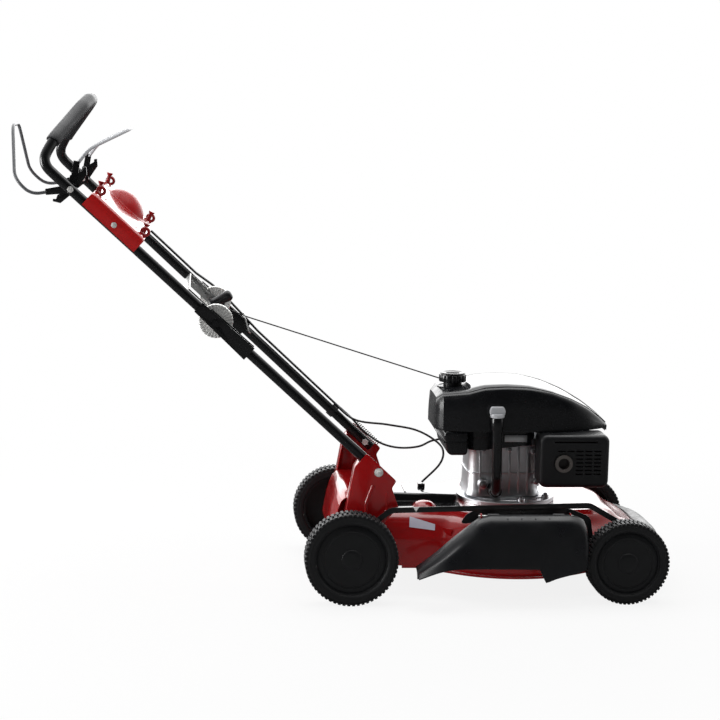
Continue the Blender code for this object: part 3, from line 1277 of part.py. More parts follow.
def make_bails(fold):
    outer = tube_y(LEVER_PIVOT_UP) - TUBE_RADIUS - RUN - 0.0015 - LEVER_THICKNESS / 2
    inner = outer - LEVER_THICKNESS - RUN
    up = LEVER_PIVOT_UP
    make_bail(fold, "drive_bail", [(0, 0), (-0.020, 0.016), (-0.042, 0.034)],
              [(-0.032, inner, 0.0255), (-0.0666, inner, 0.4584 - up), (-0.0665, 0.1680, 0.5050 - up),
               (0.0030, 0.0630, 0.5872 - up)], inner, BAIL_GREY,
              [(-0.008, 0.004), (-0.030, 0.012), (-0.038, 0.0085), (-0.042, 0.0135), (-0.046, 0.010), (-0.038, -0.004), (-0.008, -0.008)])
    make_bail(fold, "brake_bail", [(0, 0), (0.024, 0.013), (0.050, 0.030)],
              [(0.040, outer, 0.0245), (0.0840, outer - 0.012, 0.4354 - up), (0.1637, 0.0750, 0.4042 - up)],
              outer, BAIL_WHITE,
              [(0.008, 0.006), (0.032, 0.012), (0.044, 0.0085), (0.049, 0.0125), (0.054, 0.008), (0.043, -0.004), (0.010, -0.009)])


def through_bolt(side, outer, inner, place, across, head=0.0035):
    """A bolt across the machine: hexagon head and washer outside, shank, and nut inside."""
    x, z = place
    body = rod((x, side * (outer + 0.001), z), (x, side * (inner - 0.001), z), BOLT_RADIUS, segments=8)
    join(body, hex_bolt((x, side * outer, z), (0, side, 0), across, head, 0.0012))
    join(body, hex_bolt((x, side * inner, z), (0, -side, 0), across, head))
    return body


def make_bolts(line, fold):
    """The bolts at the levers, at the fold and at the brackets, one of each on either side."""
    y = tube_y(LEVER_PIVOT_UP)
    low = -BRACKET_BOLT_DOWN
    for side, name in ((-1, "right"), (1, "left")):
        lever = through_bolt(side, y + TUBE_RADIUS + GAP, y - TUBE_RADIUS - 2 * LEVER_THICKNESS - 0.0035,
                             (0, LEVER_PIVOT_UP), 0.009)
        finish(lever, "lever_bolt_" + name, ZINC, fold)
        turn = through_bolt(side, CHANNEL_OUT + CHANNEL_WALL + GAP, LOCK_IN - GAP, (0, 0), 0.012)
        finish(turn, "fold_bolt_" + name, ZINC, line)
        foot = through_bolt(side, BRACKET_PLATE_IN + BRACKET_SHEET + GAP, tube_y(low) - TUBE_RADIUS - 0.0009,
                            (0, low), 0.013, 0.0055)
        finish(foot, "bracket_bolt_" + name, ZINC, line)


LOCK_OUT = TONGUE_BACK - 2 * GAP
LOCK_STRAP = 0.0022
LOCK_IN = LOCK_OUT - LOCK_STRAP


def make_lock_lever(fold):
    """The wide zinc strap between the tubes: it turns on the fold bolts and clamps the discs."""
    axis = axis_empty("lock_lever_axis", (0, 0, 0), fold)
    up, half = 0.087, 0.011
    arm = [(-half, -half), (half, -half), (half, up - 0.0002), (-half, up - 0.0002)]
    body = span_box((-half - 0.0002, -LOCK_OUT, up - LOCK_STRAP), (half + 0.0002, LOCK_OUT, up))
    for side in (-1, 1):
        join(body, plate([arm], LOCK_STRAP - 0.0002, "XZ", side * (LOCK_IN + LOCK_STRAP / 2 - 0.0002)))
    cut(body, rod((0, -0.3, 0), (0, 0.3, 0), BOLT_RADIUS + RUN, segments=8))
    finish(body, "lock_lever", ZINC, axis)


# Starter rope, control cables, clips and spring

GUIDE_PLACE = Vector((-0.524, 0.166, 0.5665))
ROPE_ENTRY = Vector((-0.066, 0.060, 0.4362))
GRIP_REST = Vector((-0.5780, 0.122, 0.6080))
PULL = Vector((-0.33, -0.06, 0.94)).normalized()
ROPE_RADIUS = 0.0015


def make_starter(mower):
    """The recoil starter's rope, from the shroud through the wire guide, and its T-shaped grip."""
    start = ROPE_ENTRY + (GUIDE_PLACE - ROPE_ENTRY).normalized() * 0.002
    bend = GUIDE_PLACE
    foot = GRIP_REST - PULL * 0.0145
    path = rounded_path([start, bend, foot - PULL * 5 * GAP], 0.010, 4)
    rope = tube(path, ROPE_RADIUS, 2)
    finish(rope, "starter_rope", RUBBER, mower)
    axis = axis_empty("starter_grip_axis", GRIP_REST, mower)
    bar = Vector((0.87, 0.0, 0.49)).normalized()
    stem = rod(-PULL * 0.0145, PULL * 0.006, 0.0060, 0.0090)
    handle = turned([(0.0, 0.029), (0.008, 0.028), (0.0125, 0.022), (0.0115, 0.0), (0.0125, -0.022), (0.008, -0.028),
                     (0.0, -0.029)], "Z", segments=SMALL_ROUND)
    handle.data.transform(Vector((0, 0, 1)).rotation_difference(bar).to_matrix().to_4x4())
    join(handle, stem)
    finish(handle, "starter_grip", BLACK_PLASTIC, axis)


def rope_guide():
    """A bent wire eye on the left lower tube that the starter rope runs through."""
    turn = Matrix.Rotation(-(math.pi / 2 - HANDLE_LEAN), 4, "Y").inverted()
    eye = turn @ (GUIDE_PLACE - Vector((PIVOT_X, 0, PIVOT_Z)))
    radius = 0.0050
    inner = tube_y(-0.112) - TUBE_RADIUS
    points = [(0.002, inner + 0.003, -0.112), (0.004, inner - 0.0035, -0.102), (eye.x - 0.004, eye.y + 0.002, eye.z - 0.010)]
    for k in range(10):
        angle = math.radians(200 + 34 * k)
        points.append((eye.x + radius * math.sin(angle), eye.y - radius * math.cos(angle), eye.z - 0.004 + 0.0009 * k))
    return tube(smooth_path(points, 2), 0.0015, 2)


CABLE_RADIUS = 0.0025
CLIP_WALL = 0.0028


def make_cables(mower):
    """Two sheathed control cables: down the left tube, then to the belt clutch and the engine brake."""
    turn = Matrix.Rotation(-(math.pi / 2 - HANDLE_LEAN), 4, "Y")

    def on_tube(up, out, side_step):
        local = Vector((out, tube_y(up) + side_step, up))
        return turn @ local + Vector((PIVOT_X, 0, PIVOT_Z))
    rise = TUBE_RADIUS + CABLE_RADIUS + CLIP_WALL + 2 * GAP
    lift = rise + 0.006

    def along(step):
        clear = [on_tube(0.215, rise, step), on_tube(0.075, rise, step), on_tube(0.030, lift, step)]
        return clear + [on_tube(-0.030, lift, step), on_tube(-0.120, rise, step)]
    drive = [on_tube(-0.345, rise, -0.004)] + [Vector(p) for p in (
        (-0.268, 0.150, 0.3290), (-0.1926, 0.120, 0.3222), (-0.130, 0.100, 0.3140), (-0.088, 0.080, 0.2950),
        (-0.0691, 0.060, 0.2740), (-0.078, 0.045, 0.2450), (-0.1200, 0.028, BELT_COVER_TOP + 0.0064))]
    brake = [on_tube(-0.372, rise, 0.0035), on_tube(-0.415, rise + 0.002, -0.0105)] + [Vector(p) for p in (
        (-0.2450, 0.150, 0.3020), (-0.2050, 0.140, 0.2750), (-0.1635, 0.125, 0.2668), (-0.1200, 0.104, 0.2740),
        (-0.0895, 0.0935, 0.2900), (-0.0500, 0.089, 0.2970), (-0.0200, 0.070, 0.3000), (-0.0057, 0.067, 0.3000))]
    finish(tube(along(-0.004) + smooth_path(drive, 2), CABLE_RADIUS, 2), "drive_cable", RUBBER, mower)
    finish(tube(along(0.004) + smooth_path(brake, 2), CABLE_RADIUS, 2), "brake_cable", RUBBER, mower)


def make_cable_clip(line):
    """A moulded clip that ties the cables to the left lower tube."""
    up = -0.372
    ring = turned([(TUBE_RADIUS + CLIP_WALL, 0.008), (TUBE_RADIUS + CLIP_WALL, -0.008), (TUBE_RADIUS + RUN, -0.008),
                   (TUBE_RADIUS + RUN, 0.008)], "Z", segments=16)
    ring.data.transform(Matrix.Translation((0, tube_y(up), up)) @ Matrix.Rotation(-math.atan(SPLAY), 4, "X"))
    finish(ring, "cable_clip", BLACK_PLASTIC, line)


def make_spring(line):
    """A coiled tension spring on the left lower tube, hooked to the bracket's bolt at its foot."""
    turns, points = 12, 8
    low, high = -0.502, -0.436
    radius, wire = 0.0052, 0.0009
    path = []
    for k in range(turns * points + 1):
        angle = math.tau * k / points
        z = low + (high - low) * k / (turns * points)
        path.append(Vector((TUBE_RADIUS + 0.0065 + radius * math.cos(angle), tube_y(z) - 0.002 + radius * math.sin(angle), z)))
    gap = min((a - b).length for a in path for b in path if abs(path.index(a) - path.index(b)) >= points - 1)
    print("spring: least gap between turns", round((gap - 2 * wire) * 1000, 2), "mm")
    finish(tube(path, wire, 1), "lift_spring", ZINC, line)


def build():
    mower = axis_empty("mower_frame", (-FOOTPRINT_X, -FOOTPRINT_Y, 0), None)
    line = axis_empty("handle_line", (PIVOT_X, 0, PIVOT_Z), mower, -(math.pi / 2 - HANDLE_LEAN))
    fold = axis_empty("handle_fold_axis", (0, 0, 0), line)
    rear = make_rear_axle(mower)
    make_front_axle(mower)
    make_height_link(rear)
    make_deck(mower)
    make_brackets(mower)
    make_rear_chute(mower)
    flap_pin = make_rear_flap(mower)
    deflector_pin = make_deflector(mower)
    finish(flap_pin, "flap_rod", ZINC, mower)
    finish(deflector_pin, "deflector_rod", ZINC, mower)
    make_belt_cover(mower)
    make_nose_guard(mower)
    make_gearbox(mower)
    make_drive_shaft(mower)
    make_gearbox_pulley(mower)
    make_belt(mower)
    crank = make_crankshaft(mower)
    make_blade(crank)
    make_sump_flange(mower)
    make_crankcase(mower)
    make_cylinder(mower)
    make_engine_cover(mower)
    make_fuel_tank(mower)
    make_fuel_cap(mower)
    make_dipstick(mower)
    make_muffler(mower)
    make_air_filter(mower)
    make_lower_handle(line)
    path = make_upper_handle(fold)
    make_grip(fold, path)
    make_control_panel(fold)
    make_bails(fold)
    make_lock_lever(fold)
    make_bolts(line, fold)
    make_starter(mower)
    make_cables(mower)
    make_cable_clip(line)
    make_spring(line)
    bpy.context.view_layer.update()


build()
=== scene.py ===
"""A walk-behind petrol lawn mower with side discharge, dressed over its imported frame.

Sizes are in metres. The mower's own frame has its origin on the ground under the middle plane, 66 mm
behind the crankshaft; the handle's frame has its origin at the fold, with Z up the tubes.
"""
import math

import bmesh
import bpy
from mathutils import Matrix, Vector


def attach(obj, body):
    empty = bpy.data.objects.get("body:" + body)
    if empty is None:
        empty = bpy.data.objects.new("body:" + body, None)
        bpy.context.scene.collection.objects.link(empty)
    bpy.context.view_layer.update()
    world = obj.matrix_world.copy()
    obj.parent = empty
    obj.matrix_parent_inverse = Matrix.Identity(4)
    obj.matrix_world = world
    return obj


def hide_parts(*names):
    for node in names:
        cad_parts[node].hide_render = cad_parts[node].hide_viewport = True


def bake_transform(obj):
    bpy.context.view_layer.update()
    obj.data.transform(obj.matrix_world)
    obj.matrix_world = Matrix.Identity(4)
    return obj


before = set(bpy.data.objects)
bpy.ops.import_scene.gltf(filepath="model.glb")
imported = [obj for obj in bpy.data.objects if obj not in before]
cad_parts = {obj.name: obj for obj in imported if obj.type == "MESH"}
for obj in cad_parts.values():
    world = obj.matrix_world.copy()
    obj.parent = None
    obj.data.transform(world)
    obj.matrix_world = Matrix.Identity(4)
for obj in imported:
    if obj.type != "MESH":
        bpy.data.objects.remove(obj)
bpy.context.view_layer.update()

MOWER = Matrix.Translation((0.310, 0.027, 0))
FOLD = Vector((-0.590, 0, 0.598))
HANDLE_LEAN = Matrix.Rotation(math.radians(42.7 - 90), 4, "Y")
HANDLE = MOWER @ Matrix.Translation(FOLD) @ HANDLE_LEAN
MIRROR = Matrix.Scale(-1, 4, (0, 1, 0))


# The view, the floor and the lamps
# The mower stands on a white studio floor. It is seen from its right side, four metres away, with a
# long lens, and lit by one wide soft lamp above and three lower ones.

class Wire:
    """What one node gives out, so that shader maths can be written as a formula."""

    def __init__(self, shading, socket):
        self.shading, self.socket = shading, socket

    def maths(self, how, other):
        return self.shading.node("ShaderNodeMath", {0: self, 1: other}, operation=how)

    def __add__(self, other):
        return self.maths("ADD", other)

    def __mul__(self, other):
        return self.maths("MULTIPLY", other)

    __radd__, __rmul__ = __add__, __mul__


class Shading:
    """The nodes of one material or of the world."""

    def __init__(self, tree):
        self.tree = tree

    def plug(self, socket, value):
        if isinstance(value, Wire):
            self.tree.links.new(value.socket, socket)
        else:
            socket.default_value = value

    def node(self, kind, sockets=None, output=0, **settings):
        made = self.tree.nodes.new(kind)
        for name, value in settings.items():
            setattr(made, name, value)
        for key, value in (sockets or {}).items():
            self.plug(made.inputs[key], value)
        return Wire(self, made.outputs[output])

    def ramp(self, value, low, high, start=0.0, end=1.0):
        return self.node("ShaderNodeMapRange", {"Value": value, "From Min": low, "From Max": high,
                                                "To Min": start, "To Max": end})

    def ray(self, kind):
        return self.node("ShaderNodeLightPath", output=f"Is {kind} Ray")


class Finish(Shading):
    """One surface finish: formulas on the piece's own coordinates, ending in a single shader."""

    def __init__(self, name, colour, roughness, metallic=0.0, coat=0.0, coat_roughness=0.05):
        self.material = bpy.data.materials.new(name)
        self.material.use_nodes = True
        super().__init__(self.material.node_tree)
        self.shader = self.tree.nodes["Principled BSDF"]
        self.shader.inputs["Coat Roughness"].default_value = coat_roughness
        self.colour = colour
        self.set("Base Color", (*colour, 1))
        self.set("Roughness", roughness)
        self.set("Metallic", metallic)
        self.set("Coat Weight", coat)
        self.here = self.node("ShaderNodeTexCoord", output="Object")

    def set(self, socket, value):
        self.plug(self.shader.inputs[socket], value)
        return self

    def noise(self, scale, detail=3.0, rough=0.55, stretch=None):
        where = self.here
        if stretch:
            where = self.node("ShaderNodeMapping", {"Vector": where, "Scale": stretch})
        return self.node("ShaderNodeTexNoise", {"Vector": where, "Scale": scale, "Detail": detail,
                                                "Roughness": rough})

    def cells(self, scale):
        return self.node("ShaderNodeTexVoronoi", {"Vector": self.here, "Scale": scale})

    def tint(self, mask, share):
        """The finish's own colour, darker where the mask is low and lighter where it is high."""
        low, high = ((*(c * (1 + s * share) for c in self.colour), 1) for s in (-1, 1))
        mixed = self.node("ShaderNodeMix", {0: mask, 6: low, 7: high}, output=2, data_type="RGBA")
        return self.set("Base Color", mixed)

    def sheen(self, scale, detail, dull, bright, edge=0.3, rough=0.55, stretch=None):
        """Clouds of changing roughness, from one value to another."""
        clouds = self.noise(scale, detail, rough, stretch)
        return self.set("Roughness", self.ramp(clouds, edge, 1 - edge, dull, bright))

    def bump(self, height, depth, strength=1.0):
        return self.set("Normal", self.node("ShaderNodeBump", {"Height": height, "Distance": depth,
                                                               "Strength": strength}))


yaw, pitch, roll = 0.0890, 0.1529, -0.0194
ahead = Vector((math.sin(yaw) * math.cos(pitch), math.cos(yaw) * math.cos(pitch), -math.sin(pitch)))
level = Vector((math.cos(yaw), -math.sin(yaw), 0))
down = ahead.cross(level)
right = level * math.cos(roll) + down * math.sin(roll)
below = down * math.cos(roll) - level * math.sin(roll)
bpy.ops.object.camera_add()
camera = bpy.context.object
camera.matrix_world = (Matrix.Translation((-0.3104, -3.9137, 1.1005))
                       @ Matrix((right, -below, -ahead)).transposed().to_4x4())
camera.data.lens, camera.data.sensor_width = 90, 36
camera.data.clip_end = 60
bpy.context.scene.camera = camera
bpy.context.scene.view_settings.view_transform = "Standard"

world = bpy.data.worlds.new("studio")
bpy.context.scene.world = world
world.use_nodes = True
studio = Shading(world.node_tree)
sky = world.node_tree.nodes["Background"]
outwards = studio.node("ShaderNodeTexCoord", output="Generated")
heading = studio.node("ShaderNodeSeparateXYZ", {0: outwards}, "Y")
in_gloss = studio.ramp(heading, -0.60, 1.0, 0.02, 2.1)
unseen = studio.ramp(studio.ray("Glossy"), 0, 1, 0.30, in_gloss)
studio.plug(sky.inputs["Strength"], studio.ramp(studio.ray("Camera"), 0, 1, unseen, 1.0))
sky.inputs["Color"].default_value = (1, 1, 1, 1)


def lamp(name, place, aim, size, power):
    """One soft box, turned to face the mower."""
    bpy.ops.object.light_add(type="AREA", location=place)
    made = bpy.context.object
    made.name = name
    made.data.shape, made.data.size, made.data.size_y = "RECTANGLE", size[0], size[1]
    made.data.energy = power
    made.rotation_euler = (Vector(aim) - Vector(place)).to_track_quat("-Z", "Y").to_euler()


lamp("lamp_above", (0.1, 0.4, 3.2), (0, 0, 0.3), (3.6, 2.2), 60)
lamp("lamp_behind", (0.2, 4.2, 2.0), (0, 0, 0.5), (5.6, 2.4), 60)
lamp("lamp_left", (-3.4, -0.1, 0.95), (0, 0, 0.4), (1.3, 1.7), 90)
lamp("lamp_front", (-2.6, -3.6, 2.6), (0.1, 0, 0.4), (1.4, 1.4), 4)

bpy.ops.mesh.primitive_plane_add(size=24)
floor = bpy.context.object
floor.name = "studio_floor"
white = Finish("studio_white", (0.90, 0.90, 0.90), 0.9)
seen = white.ray("Camera")
away = white.node("ShaderNodeVectorMath", {0: white.here}, "Value", operation="LENGTH")
paper = seen * white.ramp(away, 0.7, 1.8, 0.86, 1.0) + white.ray("Glossy") * 0.9
glow = white.node("ShaderNodeEmission", {"Strength": white.ramp(seen, 0, 1, 0.08, 1.0)})
either = white.node("ShaderNodeMixShader", {0: paper, 1: Wire(white, white.shader.outputs[0]), 2: glow})
white.plug(white.tree.nodes["Material Output"].inputs["Surface"], either)
floor.data.materials.append(white.material)


# Deck
# The deck is deep-drawn from one steel sheet: a round blade chamber, a tail between the rear wheels
# and a squarer nose, with a rolled lower rim. It is stoved in a thick red gloss enamel that has a
# faint orange peel.

red_enamel = Finish("red_enamel", (0.34, 0.0030, 0.0040), 0.17, coat=0.55, coat_roughness=0.06)
red_enamel.tint(red_enamel.noise(9.0, 2.0), 0.07)
red_enamel.sheen(60.0, 4.0, 0.14, 0.26)
red_enamel.bump(red_enamel.noise(420.0, 1.5) + red_enamel.noise(2600.0, 1.0) * 0.2, 0.00010, 0.35)


def hold(piece):
    """Selects one piece alone, for the operators that follow."""
    deselect()
    bpy.context.view_layer.objects.active = piece
    piece.select_set(True)


def deselect():
    for other in list(bpy.context.selected_objects):
        other.select_set(False)


def editing(piece):
    """Opens a piece for shaping, with nothing selected on it."""
    hold(piece)
    bpy.ops.object.mode_set(mode="EDIT")
    bpy.ops.mesh.select_all(action="DESELECT")


def close_edit():
    """Turns all the faces outwards and ends the shaping."""
    bpy.ops.mesh.select_all(action="SELECT")
    bpy.ops.mesh.normals_make_consistent(inside=False)
    bpy.ops.object.mode_set(mode="OBJECT")


def pick(piece, chosen, kind="faces"):
    """Selects the faces or edges for which chosen(element) holds, and nothing else."""
    bpy.ops.mesh.select_all(action="DESELECT")
    mesh = bmesh.from_edit_mesh(piece.data)
    bpy.ops.mesh.select_mode(type={"faces": "FACE", "edges": "EDGE"}[kind])
    for element in getattr(mesh, kind):
        if chosen(element):
            element.select_set(True)
    mesh.select_flush_mode()
    bmesh.update_edit_mesh(piece.data)


def drop_faces(piece, chosen):
    """Opens a shell by deleting the chosen faces."""
    editing(piece)
    pick(piece, chosen)
    bpy.ops.mesh.delete(type="FACE")
    bpy.ops.object.mode_set(mode="OBJECT")


def middle(element):
    return sum((corner.co for corner in element.verts), Vector()) / len(element.verts)


def ready(piece):
    """Applies the modifiers that wait on a piece."""
    hold(piece)
    for waiting in [m.name for m in piece.modifiers]:
        bpy.ops.object.modifier_apply(modifier=waiting)
    return piece


def fitted(piece, name, finish, body, stands_for=None, frame_of=MOWER, smooth=35):
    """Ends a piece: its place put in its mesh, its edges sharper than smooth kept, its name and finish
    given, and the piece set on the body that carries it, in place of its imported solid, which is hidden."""
    ready(piece)
    piece.data.transform(frame_of @ piece.matrix_world)
    piece.matrix_world = Matrix()
    piece.name = piece.data.name = name
    bpy.ops.object.shade_smooth_by_angle(angle=math.radians(smooth))
    piece.data.materials.clear()
    piece.data.materials.append(finish.material)
    if stands_for:
        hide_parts(stands_for)
    if body:
        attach(piece, body)
    return piece


def modify(piece, kind, **settings):
    modifier = piece.modifiers.new(kind.lower(), kind)
    for name, value in settings.items():
        setattr(modifier, name, value)
    return piece


def soften(piece, width, segments=2, sharper_than=50):
    """Breaks the edges that are sharper than an angle."""
    return modify(piece, "BEVEL", width=width, segments=segments, limit_method="ANGLE",
                  angle_limit=math.radians(sharper_than))


def outward(piece):
    """Merges doubles and turns all the faces of a piece outwards."""
    editing(piece)
    bpy.ops.mesh.select_all(action="SELECT")
    bpy.ops.mesh.remove_doubles(threshold=0.00002)
    close_edit()
    return piece


def skin(rows, closed=True, capped=True):
    """A sheet primitive wrapped over rows of points: its columns join round, its ends are filled."""
    columns = len(rows[0])
    deselect()
    bpy.ops.mesh.primitive_grid_add(x_subdivisions=columns - (not closed),
                                    y_subdivisions=len(rows) - 1, size=2)
    piece = bpy.context.object
    for index, corner in enumerate(piece.data.vertices):
        row, column = divmod(index, columns + closed)
        corner.co = rows[row][column % columns]
    editing(piece)
    bpy.ops.mesh.select_all(action="SELECT")
    bpy.ops.mesh.remove_doubles(threshold=0.000005)
    if capped:
        bpy.ops.mesh.select_all(action="DESELECT")
        bpy.ops.mesh.select_mode(type="EDGE")
        bpy.ops.mesh.select_non_manifold(extend=False, use_wire=False, use_boundary=True, use_verts=False,
                                         use_multi_face=False, use_non_contiguous=False)
        bpy.ops.mesh.fill_holes(sides=0)
    close_edit()
    return piece


def plate(outline, low, high, axis="Z", bevel=0.0, steps=2):
    """A plate cut to an outline and drawn out from low to high along an axis, its edges broken."""
    put = {"Z": lambda u, v, w: Vector((u, v, w)), "Y": lambda u, v, w: Vector((u, w, v)),
           "X": lambda u, v, w: Vector((w, u, v))}[axis]
    deselect()
    bpy.ops.mesh.primitive_circle_add(vertices=len(outline), fill_type="NGON")
    piece = bpy.context.object
    for corner, (u, v, *_) in zip(piece.data.vertices, outline):
        corner.co = put(u, v, low)
    editing(piece)
    bpy.ops.mesh.select_all(action="SELECT")
    bpy.ops.mesh.extrude_region_move(TRANSFORM_OT_translate={"value": put(0, 0, high - low)})
    close_edit()
    return soften(piece, bevel, steps, 40) if bevel else piece


def rounded(points, radius, steps=8, cyclic=False):
    """A path through points, each corner turned on an arc of about the given radius."""
    points = [Vector(p).to_3d() for p in points]
    path = []
    for k, point in enumerate(points):
        if not cyclic and k in (0, len(points) - 1):
            path.append(point)
            continue
        back, on = points[k - 1] - point, points[(k + 1) % len(points)] - point
        opening = back.angle(on)
        reach = min(radius / math.tan(max(opening, 0.02) / 2), 0.48 * back.length, 0.48 * on.length)
        if math.pi - opening < 0.03:
            path.append(point)
            continue
        start, end = point + back.normalized() * reach, point + on.normalized() * reach
        for step in range(steps + 1):
            t = step / steps
            path.append(start * (1 - t) ** 2 + point * 2 * t * (1 - t) + end * t * t)
    return path


def tube(path, radius, sides=20, cyclic=False):
    """A bent tube or wire: a curve along its path, round in section, made a mesh."""
    deselect()
    bpy.ops.curve.primitive_bezier_curve_add()
    line = bpy.context.object.data
    line.splines.clear()
    spline = line.splines.new("POLY")
    spline.points.add(len(path) - 1)
    for place, point in zip(path, spline.points):
        point.co = (*place, 1)
    spline.use_cyclic_u = cyclic
    line.dimensions = "3D"
    line.bevel_depth, line.bevel_resolution = radius, sides // 2 - 2
    line.use_fill_caps = not cyclic
    bpy.ops.object.convert(target="MESH")
    return outward(bpy.context.object)


def turned(profile, steps=64, axis="Z", centre=(0, 0, 0)):
    """A turned piece: the loop of a (radius, height) profile spun about an axis through centre."""
    deselect()
    bpy.ops.mesh.primitive_circle_add(vertices=len(profile))
    piece = bpy.context.object
    along = Vector([float(axis == name) for name in "XYZ"])
    out = Vector((0, 0, 1)) if axis == "X" else Vector((1, 0, 0))
    for corner, (radius, height) in zip(piece.data.vertices, profile):
        corner.co = Vector(centre) + out * radius + along * height
    editing(piece)
    bpy.ops.mesh.select_all(action="SELECT")
    bpy.ops.mesh.spin(steps=steps, angle=math.tau, center=centre, axis=along)
    bpy.ops.mesh.select_all(action="SELECT")
    bpy.ops.mesh.remove_doubles(threshold=0.00001)
    bpy.ops.mesh.delete_loose(use_verts=True, use_edges=True, use_faces=False)
    close_edit()
    return piece


def joined(*parts):
    """Makes one piece of several that are welded, moulded or bolted together."""
    for part in parts:
        ready(part)
    hold(parts[0])
    for part in parts:
        part.select_set(True)
    bpy.ops.object.join()
    return bpy.context.object


def copied(piece, matrix):
    """The same shape again, with its own mesh, moved by a matrix."""
    again = piece.copy()
    again.data = piece.data.copy()
    bpy.context.collection.objects.link(again)
    again.data.transform(matrix)
    if matrix.determinant() < 0:
        again.data.flip_normals()
    return again


def block(low, high):
    """A plain block between two corners, used to cut an opening or as a start for a piece."""
    deselect()
    size = [b - a for a, b in zip(low, high)]
    bpy.ops.mesh.primitive_cube_add(size=1, location=[(a + b) / 2 for a, b in zip(low, high)], scale=size)
    bpy.ops.object.transform_apply()
    return bpy.context.object


def pin(start, end, radius, radius_end=None, sides=32):
    """A round bar between two points."""
    deselect()
    start, end = Vector(start), Vector(end)
    bpy.ops.mesh.primitive_cone_add(vertices=sides, radius1=radius, depth=(end - start).length,
                                    radius2=radius if radius_end is None else radius_end)
    piece = bpy.context.object
    piece.data.transform(Matrix.Translation((start + end) / 2) @ facing(end - start))
    return piece


def facing(towards):
    """The turn that lays the Z axis along a direction."""
    return Vector(towards).to_track_quat("Z", "Y").to_matrix().to_4x4()


def across(x, z, start, end, *radii, sides=32):
    """A round bar that lies from side to side, such as a bolt, a bore or a boss."""
    return pin((x, start, z), (x, end, z), *radii, sides=sides)


def upright(x, y, start, end, *radii, sides=32):
    """A round bar that stands upright."""
    return pin((x, y, start), (x, y, end), *radii, sides=sides)


def cut(piece, *cutters):
    """Cuts openings in a piece with other shapes, which are then thrown away."""
    for cutter in cutters:
        ready(piece)
        ready(modify(piece, "BOOLEAN", object=cutter, operation="DIFFERENCE", solver="MANIFOLD"))
        bpy.data.objects.remove(cutter)
    return piece


def arc(radius, centre, start, turn_by, steps):
    angles = [start + turn_by * k / steps for k in range(steps + 1)]
    return [(centre[0] + radius * math.cos(a), centre[1] + radius * math.sin(a)) for a in angles]


def curved(a, b, c, d, t):
    """A place on the smooth curve from b to c, the share t of the way, with a and d beyond them."""
    bend, twist = 2 * a - 5 * b + 4 * c - d, 3 * b - a - 3 * c + d
    return 0.5 * (2 * b + (c - a) * t + bend * t ** 2 + twist * t ** 3)


def between(stations, share):
    """A smooth value from a table of evenly ranked stations, each a tuple of numbers."""
    place = share * (len(stations) - 1)
    k = min(int(place), len(stations) - 2)
    four = (stations[min(max(k + step, 0), len(stations) - 1)] for step in (-1, 0, 1, 2))
    return tuple(curved(*values, place - k) for values in zip(*four))


CRANK_X = 0.066
CHAMBER = 0.240
REAR_PIVOT, FRONT_PIVOT = (-0.255, 0.100), (0.341, 0.090)
DECK_LEVELS = [(0.055, -0.005, -0.004), (0.0595, -0.0045, -0.0035), (0.064, 0, 0), (0.093, 0.0005, 0.0005),
               (0.122, 0.001, 0.001), (0.136, 0.005, 0.013), (0.154, 0.014, 0.050), (0.171, 0.031, 0.071),
               (0.180, 0.057, 0.095)]


def deck_edge(angle, side, front):
    """How far the deck reaches from its middle: chamber, tail and nose, melted together."""
    c, s = math.cos(angle), math.sin(angle)
    chamber = CRANK_X * c + math.sqrt(CHAMBER ** 2 - (CRANK_X * s) ** 2)
    length, half, corner = (0.360, 0.186, 5) if c > 0 else (0.305, 0.17696, 16)
    body = ((abs(c) / length) ** corner + (abs(s) / half) ** corner) ** (-1 / corner)
    return (chamber ** 40 + body ** 40) ** (1 / 40) - side - (front - side) * max(c, 0) ** 2


def deck_row(height, side, front):
    """The deck's outline at a height."""
    row = []
    for k in range(240):
        angle = math.tau * k / 240
        reach = deck_edge(angle, side, front)
        row.append(Vector((reach * math.cos(angle), reach * math.sin(angle), height)))
    return row


rows = [deck_row(*between(DECK_LEVELS, k / 40)) for k in range(41)]
rim = rows[-1]
for share in (0.985, 0.95, 0.90, 0.6, 0.3):
    rows.append([Vector((p.x * share, p.y * share, p.z - 0.0002)) for p in rim])
for point in [p for row in rows[18:38] for p in row if p.x > 0.12 and p.y < 0]:
    along = math.atan2(point.y + 0.02, point.x - 0.10)
    point.z -= 0.0022 * math.exp(-((along + 0.47) / 0.035) ** 2)
    point.z += 0.0012 * math.exp(-((along + 0.56) / 0.045) ** 2)
deck = skin(rows)
drop_faces(deck, lambda face: len(face.verts) > 20 and middle(face).z < 0.1)
modify(deck, "SOLIDIFY", thickness=0.002, offset=-1, use_even_offset=True)
cut(deck, block((-0.36, -0.23, 0), (-0.185, 0.23, 0.068)), block((-0.30, -0.24, 0), (-0.125, -0.10, 0.0625)),
    upright(CRANK_X, 0, 0.16, 0.20, 0.052, sides=64),
    block((-0.285, -0.040, 0.160), (-0.070, 0.040, 0.190)),
    block((-0.020, -0.300, 0.077), (0.165, -0.150, 0.146)),
    block((-0.36, -0.115, 0.118), (-0.275, 0.115, 0.23)),
    across(*REAR_PIVOT, -0.23, 0.23, 0.0146), across(*FRONT_PIVOT, -0.23, 0.23, 0.0086))
turn_in = math.asin(0.186 / 0.236)
sheet = (arc(0.236, (CRANK_X, 0), math.pi - turn_in, 2 * turn_in, 40)
         + arc(0.234, (CRANK_X, 0), math.pi + turn_in, -2 * turn_in, 40))
baffle = plate(sheet, 0.069, 0.151)
outline = [(-0.241, 0.1855), (-0.241, 0.1955), (-0.2395, 0.1975), (-0.232, 0.1975), (-0.228, 0.1895),
           (-0.206, 0.1735), (-0.176, 0.1635), (-0.176, 0.1495), (-0.210, 0.1475)]
ears = [plate(outline, x - 0.0015, x + 0.0015, "X", 0.0006) for x in (-0.024, 0.169)]
